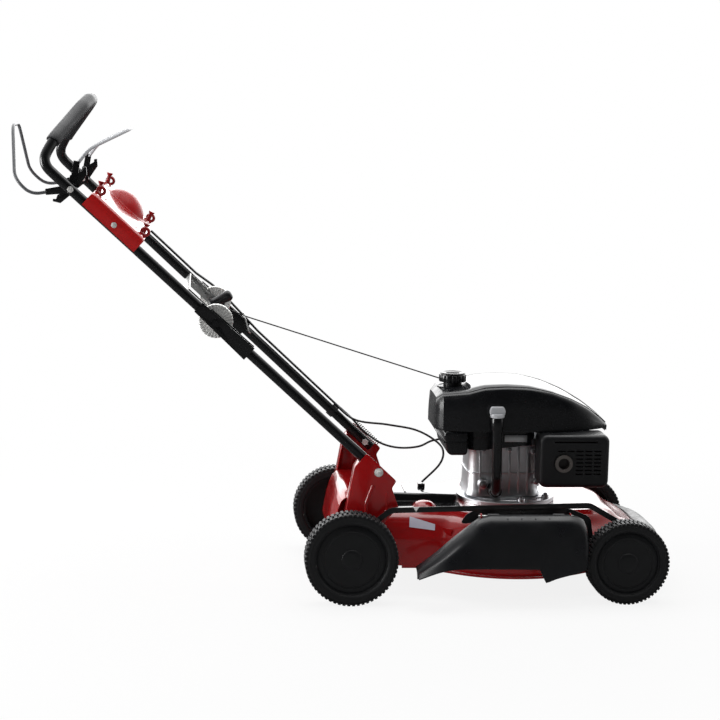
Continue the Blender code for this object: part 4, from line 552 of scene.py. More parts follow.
deck = fitted(joined(deck, baffle, *ears), "deck", red_enamel, "mower", "deck_shell", smooth=32)


# Axles, cranks and gearbox
# The wheels hang on pressed cranks that a rod joins across the machine. The drive behind is a worm
# gearbox with a flat belt, and all of it is bought in painted black or bare cast.

def coated(name, colour, roughness, grain=900.0, depth=0.00006):
    """Powder paint: satin, with a fine even pebble."""
    coat = Finish(name, colour, roughness)
    coat.tint(coat.noise(40.0, 3.0), 0.18)
    coat.sheen(25.0, 4.0, roughness - 0.06, roughness + 0.08)
    return coat.bump(coat.noise(grain, 2.0), depth, 0.4)


def bare(name, colour, roughness, grain=1500.0, depth=0.00005, stretch=None, clouds=0.10):
    """Bare or plated metal: brushed or grained, with clouds of dulling."""
    metal = Finish(name, colour, roughness, metallic=1.0)
    metal.tint(metal.noise(14.0, 4.0), clouds)
    metal.sheen(70.0, 5.0, roughness - 0.08, roughness + 0.12, 0.25, 0.65, stretch)
    return metal.bump(metal.noise(grain, 2.0, 0.6, stretch), depth, 0.35)


def dressed(finish, *names):
    """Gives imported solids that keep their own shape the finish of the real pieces."""
    for name in names:
        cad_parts[name].data.materials.clear()
        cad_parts[name].data.materials.append(finish.material)


black_paint = coated("black_powder_paint", (0.012, 0.012, 0.013), 0.34)
zinc_plate = bare("zinc_plate", (0.74, 0.75, 0.74), 0.30, 1500.0, 0.00002)
pressed_zinc = bare("pressed_zinc", (0.86, 0.86, 0.84), 0.48, 900.0, 0.00002)
pressed_zinc.shader.inputs["Metallic"].default_value = 0.55
steel_turned = bare("turned_steel", (0.48, 0.48, 0.49), 0.34, stretch=(1, 1, 30))
cast_aluminium = bare("cast_aluminium", (0.74, 0.75, 0.77), 0.36, 700.0, 0.00018)
belt_rubber = coated("belt_rubber", (0.018, 0.018, 0.019), 0.8, 500.0, 0.0001)

dressed(black_paint, "rear_axle_cranks", "front_axle_cranks")
dressed(steel_turned, "drive_shaft", "gearbox_pulley", "crankshaft", "blade_carrier")
dressed(zinc_plate, "flap_rod", "deflector_rod", "blade_bolt")
dressed(cast_aluminium, "gearbox")
dressed(belt_rubber, "drive_belt")


# Blade
# The cutter is one bar of spring steel with two ground edges and its trailing corners bent up, oiled
# black all over.

blade_steel = bare("blade_steel", (0.13, 0.13, 0.135), 0.42, 1200.0, 0.00008)
dressed(blade_steel, "blade")


# Wheels
# Each wheel is a black moulded disc in a hard black tyre. The tread is two rows of small staggered
# blocks, and a shallow ring and a low cap are moulded in the disc's outer face.

def moulded(name, colour, roughness, grain=1100.0, depth=0.00010, worn=0.25):
    """Moulded plastic: a fine leather grain, with paler rubs where it is handled."""
    plastic = Finish(name, colour, roughness)
    plastic.tint(plastic.noise(6.0, 5.0, 0.6), worn)
    plastic.sheen(30.0, 4.0, roughness - 0.07, roughness + 0.09)
    return plastic.bump(plastic.cells(grain) + plastic.noise(160.0, 2.0) * 0.4, depth, 0.45)


tyre_black = moulded("tyre_black", (0.0085, 0.0090, 0.0105), 0.55, 700.0, 0.00012)
disc_black = moulded("disc_black", (0.0070, 0.0078, 0.0092), 0.40, 1300.0, 0.00006)
WHEEL_Y, LUGS = 0.2325, 60


def wheel(name, x, radius, side):
    """One wheel: the tyre with its tread, and the disc inside it."""
    core, crown, half = radius * 0.775, radius - 0.0034, 0.0225
    hub = Matrix.Translation((x, 0, radius))

    def face(depth):
        return WHEEL_Y * side + side * depth

    def spun(profile, steps):
        return turned([(r, face(h)) for r, h in profile], steps, "Y", (x, 0, radius))

    def rolled(lugs):
        return hub @ Matrix.Rotation(math.tau * lugs / LUGS, 4, "Y") @ hub.inverted()

    edge = [(core, half - 0.0035), (core + 0.002, half - 0.0012), (core + 0.006, half),
            (core + 0.008, half - 0.0004), (core + 0.01, half - 0.0004), (core + 0.012, half),
            (crown - 0.005, half - 0.0002), (crown - 0.001, half - 0.0014), (crown + 0.0014, half - 0.0034),
            (crown + 0.0021, half - 0.0056), (crown + 0.0018, half - 0.0066), (crown, half - 0.0076)]
    parts = [spun(edge + [(r, -h) for r, h in reversed(edge)], 120)]
    width = math.tau * radius / LUGS * 0.36
    for row, (low, high) in enumerate(((-0.0222, -0.0008), (0.0008, 0.0222))):
        lug = block((-width, face(low), crown - 0.0012), (width, face(high), radius - 0.0001))
        lug.data.transform(hub)
        editing(lug)
        pick(lug, lambda f: abs(f.normal.z) > 0.9 and middle(f).z > 2 * radius - 0.001)
        top = (x, face((low + high) / 2), 2 * radius)
        bpy.ops.transform.resize(value=(0.74, 0.955, 1), center_override=top)
        bpy.ops.object.mode_set(mode="OBJECT")
        parts += [lug] + [copied(lug, rolled(k + row / 2)) for k in range(1, LUGS)]
        lug.data.transform(rolled(row / 2))
    fitted(joined(*parts), name + "_tread", tyre_black, name + "_wheel", name + "_tyre",
           smooth=40)

    seat = core - 0.0003
    outer = [(0, 0.0212), (0.012, 0.0211), (0.0195, 0.0206), (0.0215, 0.0196), (0.0225, 0.0184),
             (0.0245, 0.018), (seat * 0.6, 0.0192), (seat * 0.74, 0.0186), (seat * 0.765, 0.0174),
             (seat * 0.785, 0.0174), (seat * 0.81, 0.0182), (seat * 0.9, 0.0168), (seat * 0.955, 0.014),
             (seat - 0.0015, 0.015), (seat, 0.0165), (seat, -0.0195), (seat - 0.0045, -0.0195),
             (seat - 0.0045, 0.012), (0.014, 0.01), (0.014, -0.018), (0.0066, -0.018), (0.0066, 0.014),
             (0, 0.014)]
    fitted(spun(outer, 96), name + "_disc", disc_black, name + "_wheel", name + "_rim",
           smooth=28)


for end, wheel_x, tyre_radius in (("rear", -0.300, 0.100), ("front", 0.296, 0.090)):
    wheel(end + "_right", wheel_x, tyre_radius, -1)
    wheel(end + "_left", wheel_x, tyre_radius, 1)


# Handle brackets
# Two pressed red plates stand on the deck's tail, one each side. Each has a flange turned in behind,
# two stiffening beads, and an ear that the rear axle tube turns in.

def pair(piece):
    """A piece of the left side and its mirror image on the right."""
    return ("left", piece), ("right", copied(piece, MIRROR))


ear = arc(0.024, REAR_PIVOT, 0, -math.pi, 24)
side_view = [(-0.31, 0.182), (-0.2925, 0.283), (-0.29, 0.2885), (-0.2805, 0.299), (-0.2675, 0.3142),
             (-0.2655, 0.315), (-0.263, 0.3135), (-0.2045, 0.259), (-0.202, 0.2555), (-0.2024, 0.2525),
             (-0.209, 0.2415), (-0.2095, 0.238), (-0.196, 0.199), (-0.196, 0.196), (-0.219, 0.1715),
             (-0.2215, 0.168), (-0.231, 0.14)] + ear[1:-1] + [(-0.3145, 0.148), (-0.3145, 0.152)]
web = plate(side_view, 0.17726, 0.17976, "Y", 0.0007)
cut(web, across(*REAR_PIVOT, 0.15, 0.2, 0.0146), across(-0.23974, 0.27478, 0.15, 0.2, 0.0046))
long_rib = rounded([(-0.262, 0.1785, 0.135), (-0.266, 0.1785, 0.205), (-0.2515, 0.1785, 0.246)], 0.05)
short_rib = rounded([(-0.2215, 0.178, 0.232), (-0.2205, 0.178, 0.19), (-0.235, 0.178, 0.158)], 0.03)
strip = [(-0.31, 0.182), (-0.292, 0.285), (-0.2831, 0.2964), (-0.2806, 0.2946), (-0.2895, 0.285),
         (-0.3075, 0.182)]
flange = plate(strip, 0.14326, 0.178, "Y", 0.0008)
for side, bracket in pair(joined(web, flange, tube(long_rib, 0.0042), tube(short_rib, 0.003))):
    fitted(bracket, "bracket_" + side, red_enamel, "mower", "handle_bracket_" + side)
    dressed(pressed_zinc, "bracket_bolt_" + side)
dressed(red_enamel, "rear_chute")


# Rear flap
# A sprung flap of red enamelled sheet closes the grass opening behind. It is bent over at its top,
# where three knuckles turn on a rod.

def band(line, first, second, taper=0.0):
    """The outline of a strip whose two edges lie so far to the left of a line, and which may taper."""
    edges, last = ([], []), len(line) - 1
    for k, point in enumerate(line):
        run = (line[min(k + 1, last)] - line[max(k - 1, 0)]).normalized()
        for edge, reach in zip(edges, (first, second)):
            reach *= 1 - taper * k / last
            edge.append((point.x - run.y * reach, point.y + run.x * reach))
    return edges[0] + edges[1][::-1]


FLAP_ROD = (-0.2635, 0.2085)
bent = rounded([(-0.003, 0.0035), (-0.034, 0.0035), (-0.045, 0.001), (-0.0525, -0.0065), (-0.057, -0.016),
                (-0.0665, -0.048), (-0.0745, -0.0935)], 0.016, 6)
leaf = plate(band(bent, 0, 0.002), -0.138, 0.138, "Y", 0.0006)
leaf.data.transform(Matrix.Translation((FLAP_ROD[0], 0, FLAP_ROD[1])))
knuckles = [cut(across(*FLAP_ROD, y - 0.014, y + 0.014, 0.006), across(*FLAP_ROD, y - 0.02, y + 0.02, 0.0036))
            for y in (-0.122, 0, 0.122)]
cut(leaf, across(*FLAP_ROD, -0.15, 0.15, 0.0036))
fitted(joined(leaf, *knuckles), "rear_flap_leaf", red_enamel, "rear_flap", "rear_flap")


# Side discharge deflector
# A black moulded hood hangs on a rod over the opening in the deck's right side and throws the grass
# down and back. It runs out behind in a pointed wing.

hood_black = moulded("hood_black", (0.0085, 0.0092, 0.0110), 0.33, 900.0, 0.00005)
HOOD_ROD_Y, HOOD_ROD_Z = -0.236, 0.1915
HOOD_TOP, HOOD_FRONT = 0.1955, 0.2045


def hood_row(x, top, foot, flare):
    """The hood's section at x, from its top down and out to its foot."""
    out = -0.256 - 0.012 * flare
    points = [(-0.242, top), (out + 0.006, top - 0.004), (out - 0.006, top - 0.017),
              (out - 0.013 - 0.004 * flare, top * 0.55 + foot * 0.45), (out - 0.020 - 0.012 * flare, foot)]
    return [Vector((x, y, z)) for y, z in (between(points, k / 28) for k in range(29))]


wing = [(-0.162, 0.082, 0.0705, 1.0), (-0.12, 0.114, 0.084, 0.9), (-0.087, 0.143, 0.089, 0.7),
        (-0.056, 0.168, 0.089, 0.5), (-0.03, 0.188, 0.0885, 0.4), (-0.005, HOOD_TOP, 0.088, 0.3)]
flat_side = [(0.098, 0.0865), (0.106, 0.07), (0.112, 0.0575), (0.118, 0.0592), (0.135, 0.066), (0.15, 0.0702),
             (0.165, 0.074)]
turned_in = [(0.178, 0.1928, 0.0768, 0.25), (0.186, 0.19, 0.079, 0.2), (0.194, 0.185, 0.0822, 0.15),
             (HOOD_FRONT - 0.006, 0.178, 0.086, 0.1), (HOOD_FRONT - 0.002, 0.168, 0.0915, -0.15),
             (HOOD_FRONT, 0.155, 0.097, -0.4)]
stations = [between(wing, k / 30) for k in range(31)]
stations += [(x, HOOD_TOP, 0.088 - 0.0015 * (x + 0.005) / 0.103, 0.3) for x in (0.02, 0.045, 0.07)]
stations += [(x, HOOD_TOP, foot, 0.3) for x, foot in flat_side] + turned_in
sheet = skin([hood_row(*station) for station in stations], closed=False, capped=False)
modify(sheet, "SOLIDIFY", thickness=0.003, offset=0, use_even_offset=True)
soften(sheet, 0.0009, 2, 60)
rim = [(p.y, p.z) for p in hood_row(HOOD_FRONT - 0.007, 0.179, 0.086, 0.1)]
cheek = plate(rim + [(-0.212, 0.1), (-0.212, 0.16)], HOOD_FRONT - 0.0098, HOOD_FRONT - 0.0072, "X", 0.0005)
parts = [sheet, cheek]
for x in (0.002, 0.143):
    parts.append(pin((x - 0.012, HOOD_ROD_Y, HOOD_ROD_Z), (x + 0.012, HOOD_ROD_Y, HOOD_ROD_Z), 0.006))
    parts.append(block((x - 0.01, -0.2455, 0.1885), (x + 0.01, -0.238, 0.196)))
web = [(-0.2562, 0.1845), (-0.25, 0.187), (-0.247, 0.193), (-0.258, 0.1915), (-0.263, 0.184), (-0.265, 0.165)]
parts += [plate(web, x - 0.001, x + 0.001, "X") for x in (0.03, 0.06, 0.09, 0.12)]
hood = joined(*parts)
cut(hood, pin((-0.2, HOOD_ROD_Y, HOOD_ROD_Z), (0.3, HOOD_ROD_Y, HOOD_ROD_Z), 0.0036),
    *[block((x - 0.0027, -0.2485, 0.1795), (x + 0.0027, -0.234, 0.2035)) for x in (-0.024, 0.169)])
fitted(hood, "side_hood", hood_black, "side_deflector", "side_deflector", smooth=38)


# Height link
# A flat black bar on the right side joins the cranks of both axles, and is gripped to set the cut. A
# white pointer on it runs along a pale scale plate, which is left bare.

line = rounded([(x - 0.259, z + 0.14) for x, z in ((0, 0), (0.006, 0.0252), (0.045, 0.056), (0.478, 0.066),
                                                   (0.544, 0.028), (0.596, -0.01))], 0.03)
bar = plate(band(line, 0.006, -0.006), -0.2012, -0.1976, "Y", 0.0007)
pins = ((-0.259, 0.14), (0.337, 0.13))
link = joined(bar, *[across(x, z, -0.2011, -0.1977, 0.0088) for x, z in pins])
cut(link, *[across(x, z, -0.21, -0.19, 0.0041) for x, z in pins])
fitted(link, "link_bar", black_paint, "height_link", "height_link")

white_plastic = moulded("white_plastic", (0.78, 0.78, 0.77), 0.42, 1500.0, 0.00004, worn=0.04)
mark = plate([(-0.0065, 0.0052), (0.0065, 0.0052), (0, -0.005)], -0.2024, -0.2012, "Y", 0.0003)
mark.data.transform(Matrix.Translation((-0.1595, 0, 0.1985)))
fitted(mark, "height_pointer", white_plastic, "height_link")


# Belt cover
# A glossy black pressed channel lies on the deck behind the engine, over the slot for the drive belt
# and its clutch. A spot-welded clip holds the belt cable.

gloss_black = Finish("gloss_black", (0.008, 0.008, 0.009), 0.12, coat=0.4)
gloss_black.tint(gloss_black.noise(8.0, 3.0), 0.3)
gloss_black.sheen(35.0, 5.0, 0.10, 0.22)
gloss_black.bump(gloss_black.noise(300.0, 1.0), 0.00008, 0.3)


def round_box(low, high, radius, height=0.0, steps=8, grow=0.0):
    """A rounded rectangle at one height, as a row of points, its sides moved out by grow."""
    x0, y0, x1, y1 = low[0] - grow, low[1] - grow, high[0] + grow, high[1] + grow
    row = []
    for cx, cy, start in ((x1 - radius, y1 - radius, 0), (x0 + radius, y1 - radius, 1),
                          (x0 + radius, y0 + radius, 2), (x1 - radius, y0 + radius, 3)):
        row += [Vector((u, v, height))
                for u, v in arc(radius, (cx, cy), start * math.pi / 2, math.pi / 2, steps)]
    return row


rows = []
for height, out, corner in ((0.1803, 0.004, 0.014), (0.1818, 0.004, 0.014), (0.1824, 0.0015, 0.012),
                            (0.186, 0.0, 0.011), (0.195, -0.0024, 0.01), (0.1984, -0.0036, 0.01),
                            (0.2002, -0.0056, 0.009), (0.2009, -0.0085, 0.008), (0.201, -0.02, 0.006)):
    row = round_box((-0.258 - out, -0.05 - out), (-0.049, 0.05 + out), corner, height)
    for point in row:
        point.z -= 0.006 * (point.x + 0.25) / 0.2 * (height - 0.1803) / 0.0207
    rows.append(row)
shell = skin(rows)
drop_faces(shell, lambda face: len(face.verts) > 20 and face.normal.z < -0.5)
modify(shell, "SOLIDIFY", thickness=0.0015, offset=-1)
beads = [tube(rounded([(x, -0.036, z - 0.0006), (x, 0.036, z - 0.0006)], 0.01), 0.0022)
         for x, z in ((-0.215, 0.2002), (-0.165, 0.1988))]
clip = soften(block((-0.13, 0.018, 0.195), (-0.114, 0.034, 0.205)), 0.001, 2, 30)
fitted(joined(shell, clip, *beads), "belt_channel", gloss_black, "mower", "belt_cover",
       smooth=30)


# Nose guard
# A moulded black guard is screwed across the front of the nose, swept back at both its ends.

section = [(0.0012, 0.1225), (0.004, 0.1275), (0.014, 0.13), (0.034, 0.125), (0.0465, 0.1135), (0.05, 0.098),
           (0.0465, 0.098), (0.0435, 0.1115), (0.0325, 0.1215), (0.014, 0.1265), (0.0062, 0.1245),
           (0.0042, 0.119), (0.0012, 0.119)]
GUARD_HALF = 0.150
rows = []
for k in range(61):
    y = (k / 30 - 1) * GUARD_HALF
    nose, sweep = 0.360 * (1 - (abs(y) / 0.186) ** 5) ** 0.2, 1 - 0.40 * (abs(y) / GUARD_HALF) ** 2
    rows.append([Vector((nose + out * sweep, y, z)) for out, z in section])
guard = soften(skin(rows), 0.0007, 2, 40)
fitted(guard, "nose_guard", hood_black, "mower", "front_nose_guard", smooth=30)


# Crankcase
# The engine stands on a round cast flange bolted to the deck. Above it is the die-cast aluminium
# crankcase, ribbed, with bolt bosses, and left as it comes from the die.

dressed(cast_aluminium, "cylinder_head")
profile = [(0.028, 0), (0.111, 0), (0.111, 0.0085), (0.1102, 0.0098), (0.1085, 0.0103), (0.0975, 0.0121),
           (0.0962, 0.0133), (0.0945, 0.0138), (0.08, 0.0148), (0.076, 0.016), (0.0735, 0.016),
           (0.028, 0.016)]
base = turned([(r, h + 0.1803) for r, h in profile], 96, "Z", (CRANK_X, 0, 0))


def bolt_head(place, towards, across_flats, height, washer=0.0):
    """A hexagon head with broken corners, on its washer, pointing along a direction."""
    place, towards = Vector(place), Vector(towards).normalized()
    radius = across_flats / math.sqrt(3)
    head = pin(place + towards * washer * 0.8, place + towards * (washer + height), radius, sides=6)
    soften(head, across_flats * 0.05, 2, 30)
    if not washer:
        return ready(head)
    disc = pin(place - towards * 0.0002, place + towards * washer, across_flats * 0.75)
    return joined(head, soften(disc, washer * 0.3))


bosses, bolts = [], []
for angle in (math.radians(degrees) for degrees in (-78, -35, 35, 78)):
    x, y = CRANK_X + 0.100 * math.cos(angle), 0.100 * math.sin(angle)
    bosses.append(soften(upright(x, y, 0.1843, 0.1985, 0.0085, 0.0078), 0.001, 3))
    bolts.append(bolt_head((x, y, 0.1984), (0, 0, 1), 0.0085, 0.0036))
fitted(joined(base, *bosses), "base_flange", cast_aluminium, "mower", "sump_flange", smooth=30)

foot, head = 0.1966, 0.326
rows = [round_box((-0.028, -0.066), (0.132, 0.066), 0.03, z, 14, grow) for z, grow in (
    (foot, 0.004), (foot + 0.004, 0.0038), (foot + 0.01, 0.0014), (foot + 0.016, 0.0002), (0.25, -0.0012),
    (head - 0.02, -0.003), (head - 0.0165, -0.0022), (head - 0.0145, 0.0008), (head - 0.0135, 0.0034),
    (head - 0.0125, 0.004), (head - 0.001, 0.004), (head, 0.0032))]
case = skin(rows)
rib = [(-0.07, foot + 0.006), (-0.066, foot + 0.11), (0.066, foot + 0.11), (0.07, foot + 0.006)]
ribs = [plate(rib, x - 0.0022, x + 0.0022, "X", 0.0012) for x in (-0.002, 0.031, 0.064, 0.084, 0.104)]
waist = plate(round_box((-0.0295, -0.0675), (0.1335, 0.0675), 0.03, 0, 14), 0.246, 0.2495, "Z", 0.001)
pads = []
for x, z in ((0.004, 0.3035), (0.062, 0.3035), (0.115, 0.299), (0.124, 0.23)):
    pads.append(soften(across(x, z, -0.06, -0.0735, 0.0072, 0.0064), 0.0008))
    bolts.append(bolt_head((x, -0.0733, z), (0, -1, 0), 0.0075, 0.0032))
fitted(joined(case, waist, *ribs, *pads), "engine_case", cast_aluminium, "mower", "crankcase",
       smooth=32)

dark_bolts = bare("dark_bolts", (0.30, 0.30, 0.31), 0.38)
drain = soften(across(0.0045, 0.225, -0.064, -0.079, 0.0125, 0.0105), 0.0015, 3)
fitted(drain, "drain_boss", cast_aluminium, "mower")
bolts.append(bolt_head((0.0045, -0.0788, 0.225), (0, -1, 0), 0.01, 0.0045, 0.0012))
fitted(joined(*bolts), "engine_bolts", dark_bolts, "mower")


# Engine shroud
# One deep black moulding covers the flywheel and the starter. A crease runs round it under a gently
# domed, glossier lid, and the fuel filler comes up through its back.

shroud_black = moulded("shroud_black", (0.0060, 0.0065, 0.0078), 0.24, 1400.0, 0.00002, worn=0.12)
lid_black = Finish("lid_black", (0.0060, 0.0062, 0.0070), 0.07, coat=0.5)
lid_black.tint(lid_black.noise(5.0, 3.0), 0.2)
lid_black.sheen(30.0, 4.0, 0.05, 0.11)
FILLER_X = -0.060
SHROUD = [(-0.1065, 0.05, 0.392, 0.393), (-0.1025, 0.068, 0.415, 0.418), (-0.09, 0.083, 0.427, 0.431),
          (-0.035, 0.097, 0.434, 0.4392), (-0.026, 0.098, 0.437, 0.4455), (0, 0.101, 0.4445, 0.4525),
          (0.05, 0.102, 0.4475, 0.455), (0.1, 0.102, 0.4455, 0.4525), (0.15, 0.098, 0.435, 0.441),
          (0.195, 0.089, 0.418, 0.423), (0.235, 0.074, 0.396, 0.4005), (0.265, 0.056, 0.374, 0.378),
          (0.286, 0.034, 0.356, 0.3585)]
SHROUD_FOOT = 0.348


def shroud_at(x):
    """Half width, crease height and top height of the shroud at a distance along it."""
    k = max(j for j in range(len(SHROUD) - 1) if SHROUD[j][0] <= x + 1e-9)
    t = (x - SHROUD[k][0]) / (SHROUD[k + 1][0] - SHROUD[k][0])
    return [p + (q - p) * t for p, q in zip(SHROUD[k][1:], SHROUD[k + 1][1:])]


def shroud_row(x, half, crease, top):
    """The shroud's section at x, from the right foot over the crease and the lid to the left foot."""
    side = [(half + 0.003, SHROUD_FOOT), (half + 0.0028, SHROUD_FOOT + 0.005),
            (half + 0.002, SHROUD_FOOT * 0.5 + crease * 0.5)]
    side += [(half + out, crease + up) for out, up in (
        (0.0005, -0.016), (-0.001, -0.01), (-0.0026, -0.0055), (-0.0052, -0.0024), (-0.0085, -0.0012),
        (-0.01, -0.0022), (-0.0115, -0.0018), (-0.0132, 0.0004))]
    roof = [(half * s, crease + (top - crease) * (1 - s * s) ** 0.8)
            for s in (0.8, 0.68, 0.55, 0.4, 0.25, 0.12, 0)]
    near = [Vector((x, -y, z)) for y, z in side + roof]
    return near + [Vector((p.x, -p.y, p.z)) for p in reversed(near[:-1])]


tail, beak = SHROUD[0][0], SHROUD[-1][0]
places = []
for a, b in zip(SHROUD, SHROUD[1:]):
    steps = 3 if b[0] - a[0] > 0.02 else 2
    places += [a[0] + (b[0] - a[0]) * k / steps for k in range(steps)]
rows = []
for x in places + [beak]:
    around = [shroud_at(min(max(x + step, tail), beak)) for step in (-0.006, 0, 0.006)]
    if -0.09 < x < 0.28 and not -0.05 < x < -0.015:
        around[1] = [sum(values) / 3 for values in zip(*around)]
    rows.append(shroud_row(x, *around[1]))
shroud = skin(rows, closed=False, capped=False)
editing(shroud)
for x in (tail, beak):
    pick(shroud, lambda edge: edge.is_boundary and all(abs(c.co.x - x) < 0.0004 for c in edge.verts), "edges")
    bpy.ops.mesh.edge_face_add()
close_edit()
if max(shroud.data.polygons, key=lambda f: f.center.z).normal.z < 0:
    shroud.data.flip_normals()
modify(shroud, "SOLIDIFY", thickness=0.003, offset=-1)
soften(shroud, 0.0016, 3)
cut(shroud, upright(FILLER_X, 0, 0.4, 0.5, 0.0218, sides=64),
    *[block((0.01 + 0.02 * k, 0.09, 0.375), (0.018 + 0.02 * k, 0.12, 0.425)) for k in range(5)])
seat = turned([(0.0218, 0.4315), (0.0345, 0.4315), (0.035, 0.4345), (0.0335, 0.4352), (0.0318, 0.4348),
               (0.031, 0.4335), (0.0218, 0.433)], 64, "Z", (FILLER_X, 0, 0))


def on_lid(face):
    """Whether a face lies inside the crease and so belongs to the glossy lid."""
    spot = middle(face)
    if face.normal.z <= 0.2 or not -0.03 < spot.x < 0.262:
        return False
    half, crease, _ = shroud_at(spot.x)
    return abs(spot.y) < half - 0.0125 and spot.z > crease - 0.0005


editing(shroud)
pick(shroud, on_lid)
bpy.ops.mesh.separate(type="SELECTED")
bpy.ops.object.mode_set(mode="OBJECT")
lid = next(piece for piece in bpy.context.selected_objects if piece is not shroud)
fitted(lid, "shroud_lid", lid_black, "mower", smooth=34)
fitted(joined(shroud, seat), "engine_shroud", shroud_black, "mower", "engine_cover",
       smooth=34)


# Fan housing
# Under the shroud a black moulded housing closes the flywheel in. It overlaps the top of the
# crankcase and carries a small bare metal plate.

rows = [round_box((-0.031, -0.0752), (0.116, 0.0752), 0.026, z, 12, grow) for z, grow in (
    (0.313, 0), (0.3122, 0.0005), (0.3122, 0.002), (0.314, 0.0025), (0.33, 0.0025), (0.331, 0.0032),
    (0.347, 0.0032), (0.3478, 0.0026), (0.3478, 0))]
for point in [p for row in rows for p in row if p.z < 0.32 and p.x < 0.02]:
    point.z -= 0.01 * min(1, (0.02 - point.x) / 0.02)
housing = skin(rows + [rows[0]], capped=False)
fitted(housing, "fan_housing", shroud_black, "mower", smooth=30)
plate_silver = bare("plate_silver", (0.72, 0.73, 0.74), 0.34, 1800.0, 0.00002)
for name, (left, low), (right, high), near, far, bevel, finish, slot in (
        ("bare_plate", (0.0485, 0.3215), (0.099, 0.3372), -0.0793, -0.0784, 0.0003,
         plate_silver, "aluminium"),
        ("bare_plate_seat", (0.047, 0.32), (0.1005, 0.3388), -0.0788, -0.0775, 0.0004,
         shroud_black, "black_plastic")):
    shape = plate([(left, low), (right, low), (right, high), (left, high)], near, far, "Y", bevel)
    fitted(shape, name, finish, "mower")


# Fuel tank and cap
# The black blow-moulded tank hangs under the back of the shroud, and its neck carries a screw cap
# with finger flutes.

side_view = rounded([(-0.086, 0.3477), (-0.088, 0.336), (-0.08, 0.299), (-0.072, 0.293), (-0.0345, 0.293),
                     (-0.0345, 0.3477)], 0.01, 6)
tank = plate(side_view, -0.091, 0.079, "Y", 0.006, 4)
neck = cut(upright(FILLER_X, 0, 0.338, 0.445, 0.0205, sides=48),
           upright(FILLER_X, 0, 0.342, 0.46, 0.0165, sides=48))
weld = [(-0.0892, 0.3215), (-0.0335, 0.3215), (-0.0335, 0.324), (-0.0892, 0.324)]
tank = joined(tank, neck, plate(weld, -0.0925, 0.0805, "Y", 0.0009))
fitted(tank, "tank_and_neck", shroud_black, "mower", "fuel_tank", smooth=30)

cap_black = moulded("cap_black", (0.0060, 0.0063, 0.0072), 0.20, 1000.0, 0.00003)
FLUTES = 14
fluted = []
for k in range(FLUTES * 8):
    angle = math.tau * k / (FLUTES * 8)
    radius = 0.0305 - 0.0017 * max(0, math.cos(FLUTES * angle)) ** 0.6
    fluted.append((FILLER_X + radius * math.cos(angle), radius * math.sin(angle)))
skirt = plate(fluted, 0.4445, 0.4602, "Z", 0.0009)
crown = turned([(0, 0.459), (0.0282, 0.459), (0.0278, 0.4625), (0.0262, 0.4645), (0.0235, 0.4649),
                (0.0215, 0.464), (0.02, 0.4634), (0, 0.4636)], 64, "Z", (FILLER_X, 0, 0))
grip = plate([(-0.0745, -0.0035), (-0.0455, -0.0035), (-0.0455, 0.0035), (-0.0745, 0.0035)], 0.462, 0.4649,
             "Z", 0.0012)
cap = cut(joined(skirt, crown, grip), upright(FILLER_X, 0, 0.43, 0.4455, 0.0213, sides=48))
fitted(cap, "filler_cap", cap_black, "fuel_cap", "fuel_cap")


# Oil filler
# A black elbow and tube rise beside the crankcase. They end in a pale grey cap with ears that pulls
# out with its dipstick.

OIL_X, OIL_Y = 0.0237, -0.1215
path = rounded([(0.0285, -0.07, 0.21), (0.0285, -0.102, 0.212), (0.0275, -0.113, 0.25), (0.0245, OIL_Y, 0.33),
                (OIL_X, OIL_Y, 0.384)], 0.022, 10)
elbow = turned([(0, 0), (0.016, 0), (0.016, 0.004), (0.015, 0.0055), (0.014, 0.009), (0.014, 0.027),
                (0.0125, 0.03), (0, 0.03)], 48, "Z")
elbow.data.transform(Matrix.Translation((0.0285, -0.0706, 0.2128)) @ facing((0, -1, 0.05)))
ring = turned([(0.01, 0.356), (0.0128, 0.356), (0.0134, 0.358), (0.0134, 0.3815), (0.0125, 0.3838),
               (0.01, 0.3838)], 48, "Z", (0.024, OIL_Y, 0))
pipe = cut(tube(path, 0.0113, 28), upright(OIL_X, OIL_Y, 0.348, 0.4, 0.0085))
fitted(joined(pipe, elbow, ring), "oil_tube", cap_black, "mower", "dipstick_tube")

pale_grey = moulded("pale_grey", (0.46, 0.47, 0.49), 0.40, 1400.0, 0.00004, worn=0.06)
knob = turned([(0, 0.3843), (0.0135, 0.3843), (0.015, 0.385), (0.0155, 0.3868), (0.0155, 0.3905),
               (0.0148, 0.3925), (0.012, 0.3935), (0, 0.3935)], 48, "Z", (OIL_X, OIL_Y, 0))
ears = plate([(0.0075, 0.39), (0.04, 0.39), (0.0408, 0.3985), (0.0382, 0.4065), (0.035, 0.4082),
              (0.0125, 0.4082), (0.0092, 0.4065), (0.0066, 0.3985)], -0.127, -0.116, "Y", 0.0022, 3)
stick = upright(OIL_X, OIL_Y, 0.355, 0.386, 0.0025)
fitted(joined(knob, ears, stick), "oil_cap", pale_grey, "dipstick", "dipstick")


# Silencer and heat guard
# The pressed-steel silencer sits behind a rounded black guard. The guard has a ring for the outlet,
# cast louvres to let the heat out, and a long slot near its top.

heat_black = moulded("heat_black", (0.0085, 0.0090, 0.0105), 0.40, 800.0, 0.00005)
burnt_steel = bare("burnt_steel", (0.36, 0.33, 0.31), 0.42, 900.0, 0.00008, clouds=0.3)
outlet_steel = bare("outlet_steel", (0.075, 0.070, 0.068), 0.42, 900.0, 0.00006, clouds=0.3)
dressed(burnt_steel, "muffler")
OUTLET = (0.171, 0.285)
OUTLET_CENTRE = (OUTLET[0], 0, OUTLET[1])


def stood(row, y):
    """A level row of points, stood up facing sideways at y."""
    return [Vector((p.x, y, p.y)) for p in row]


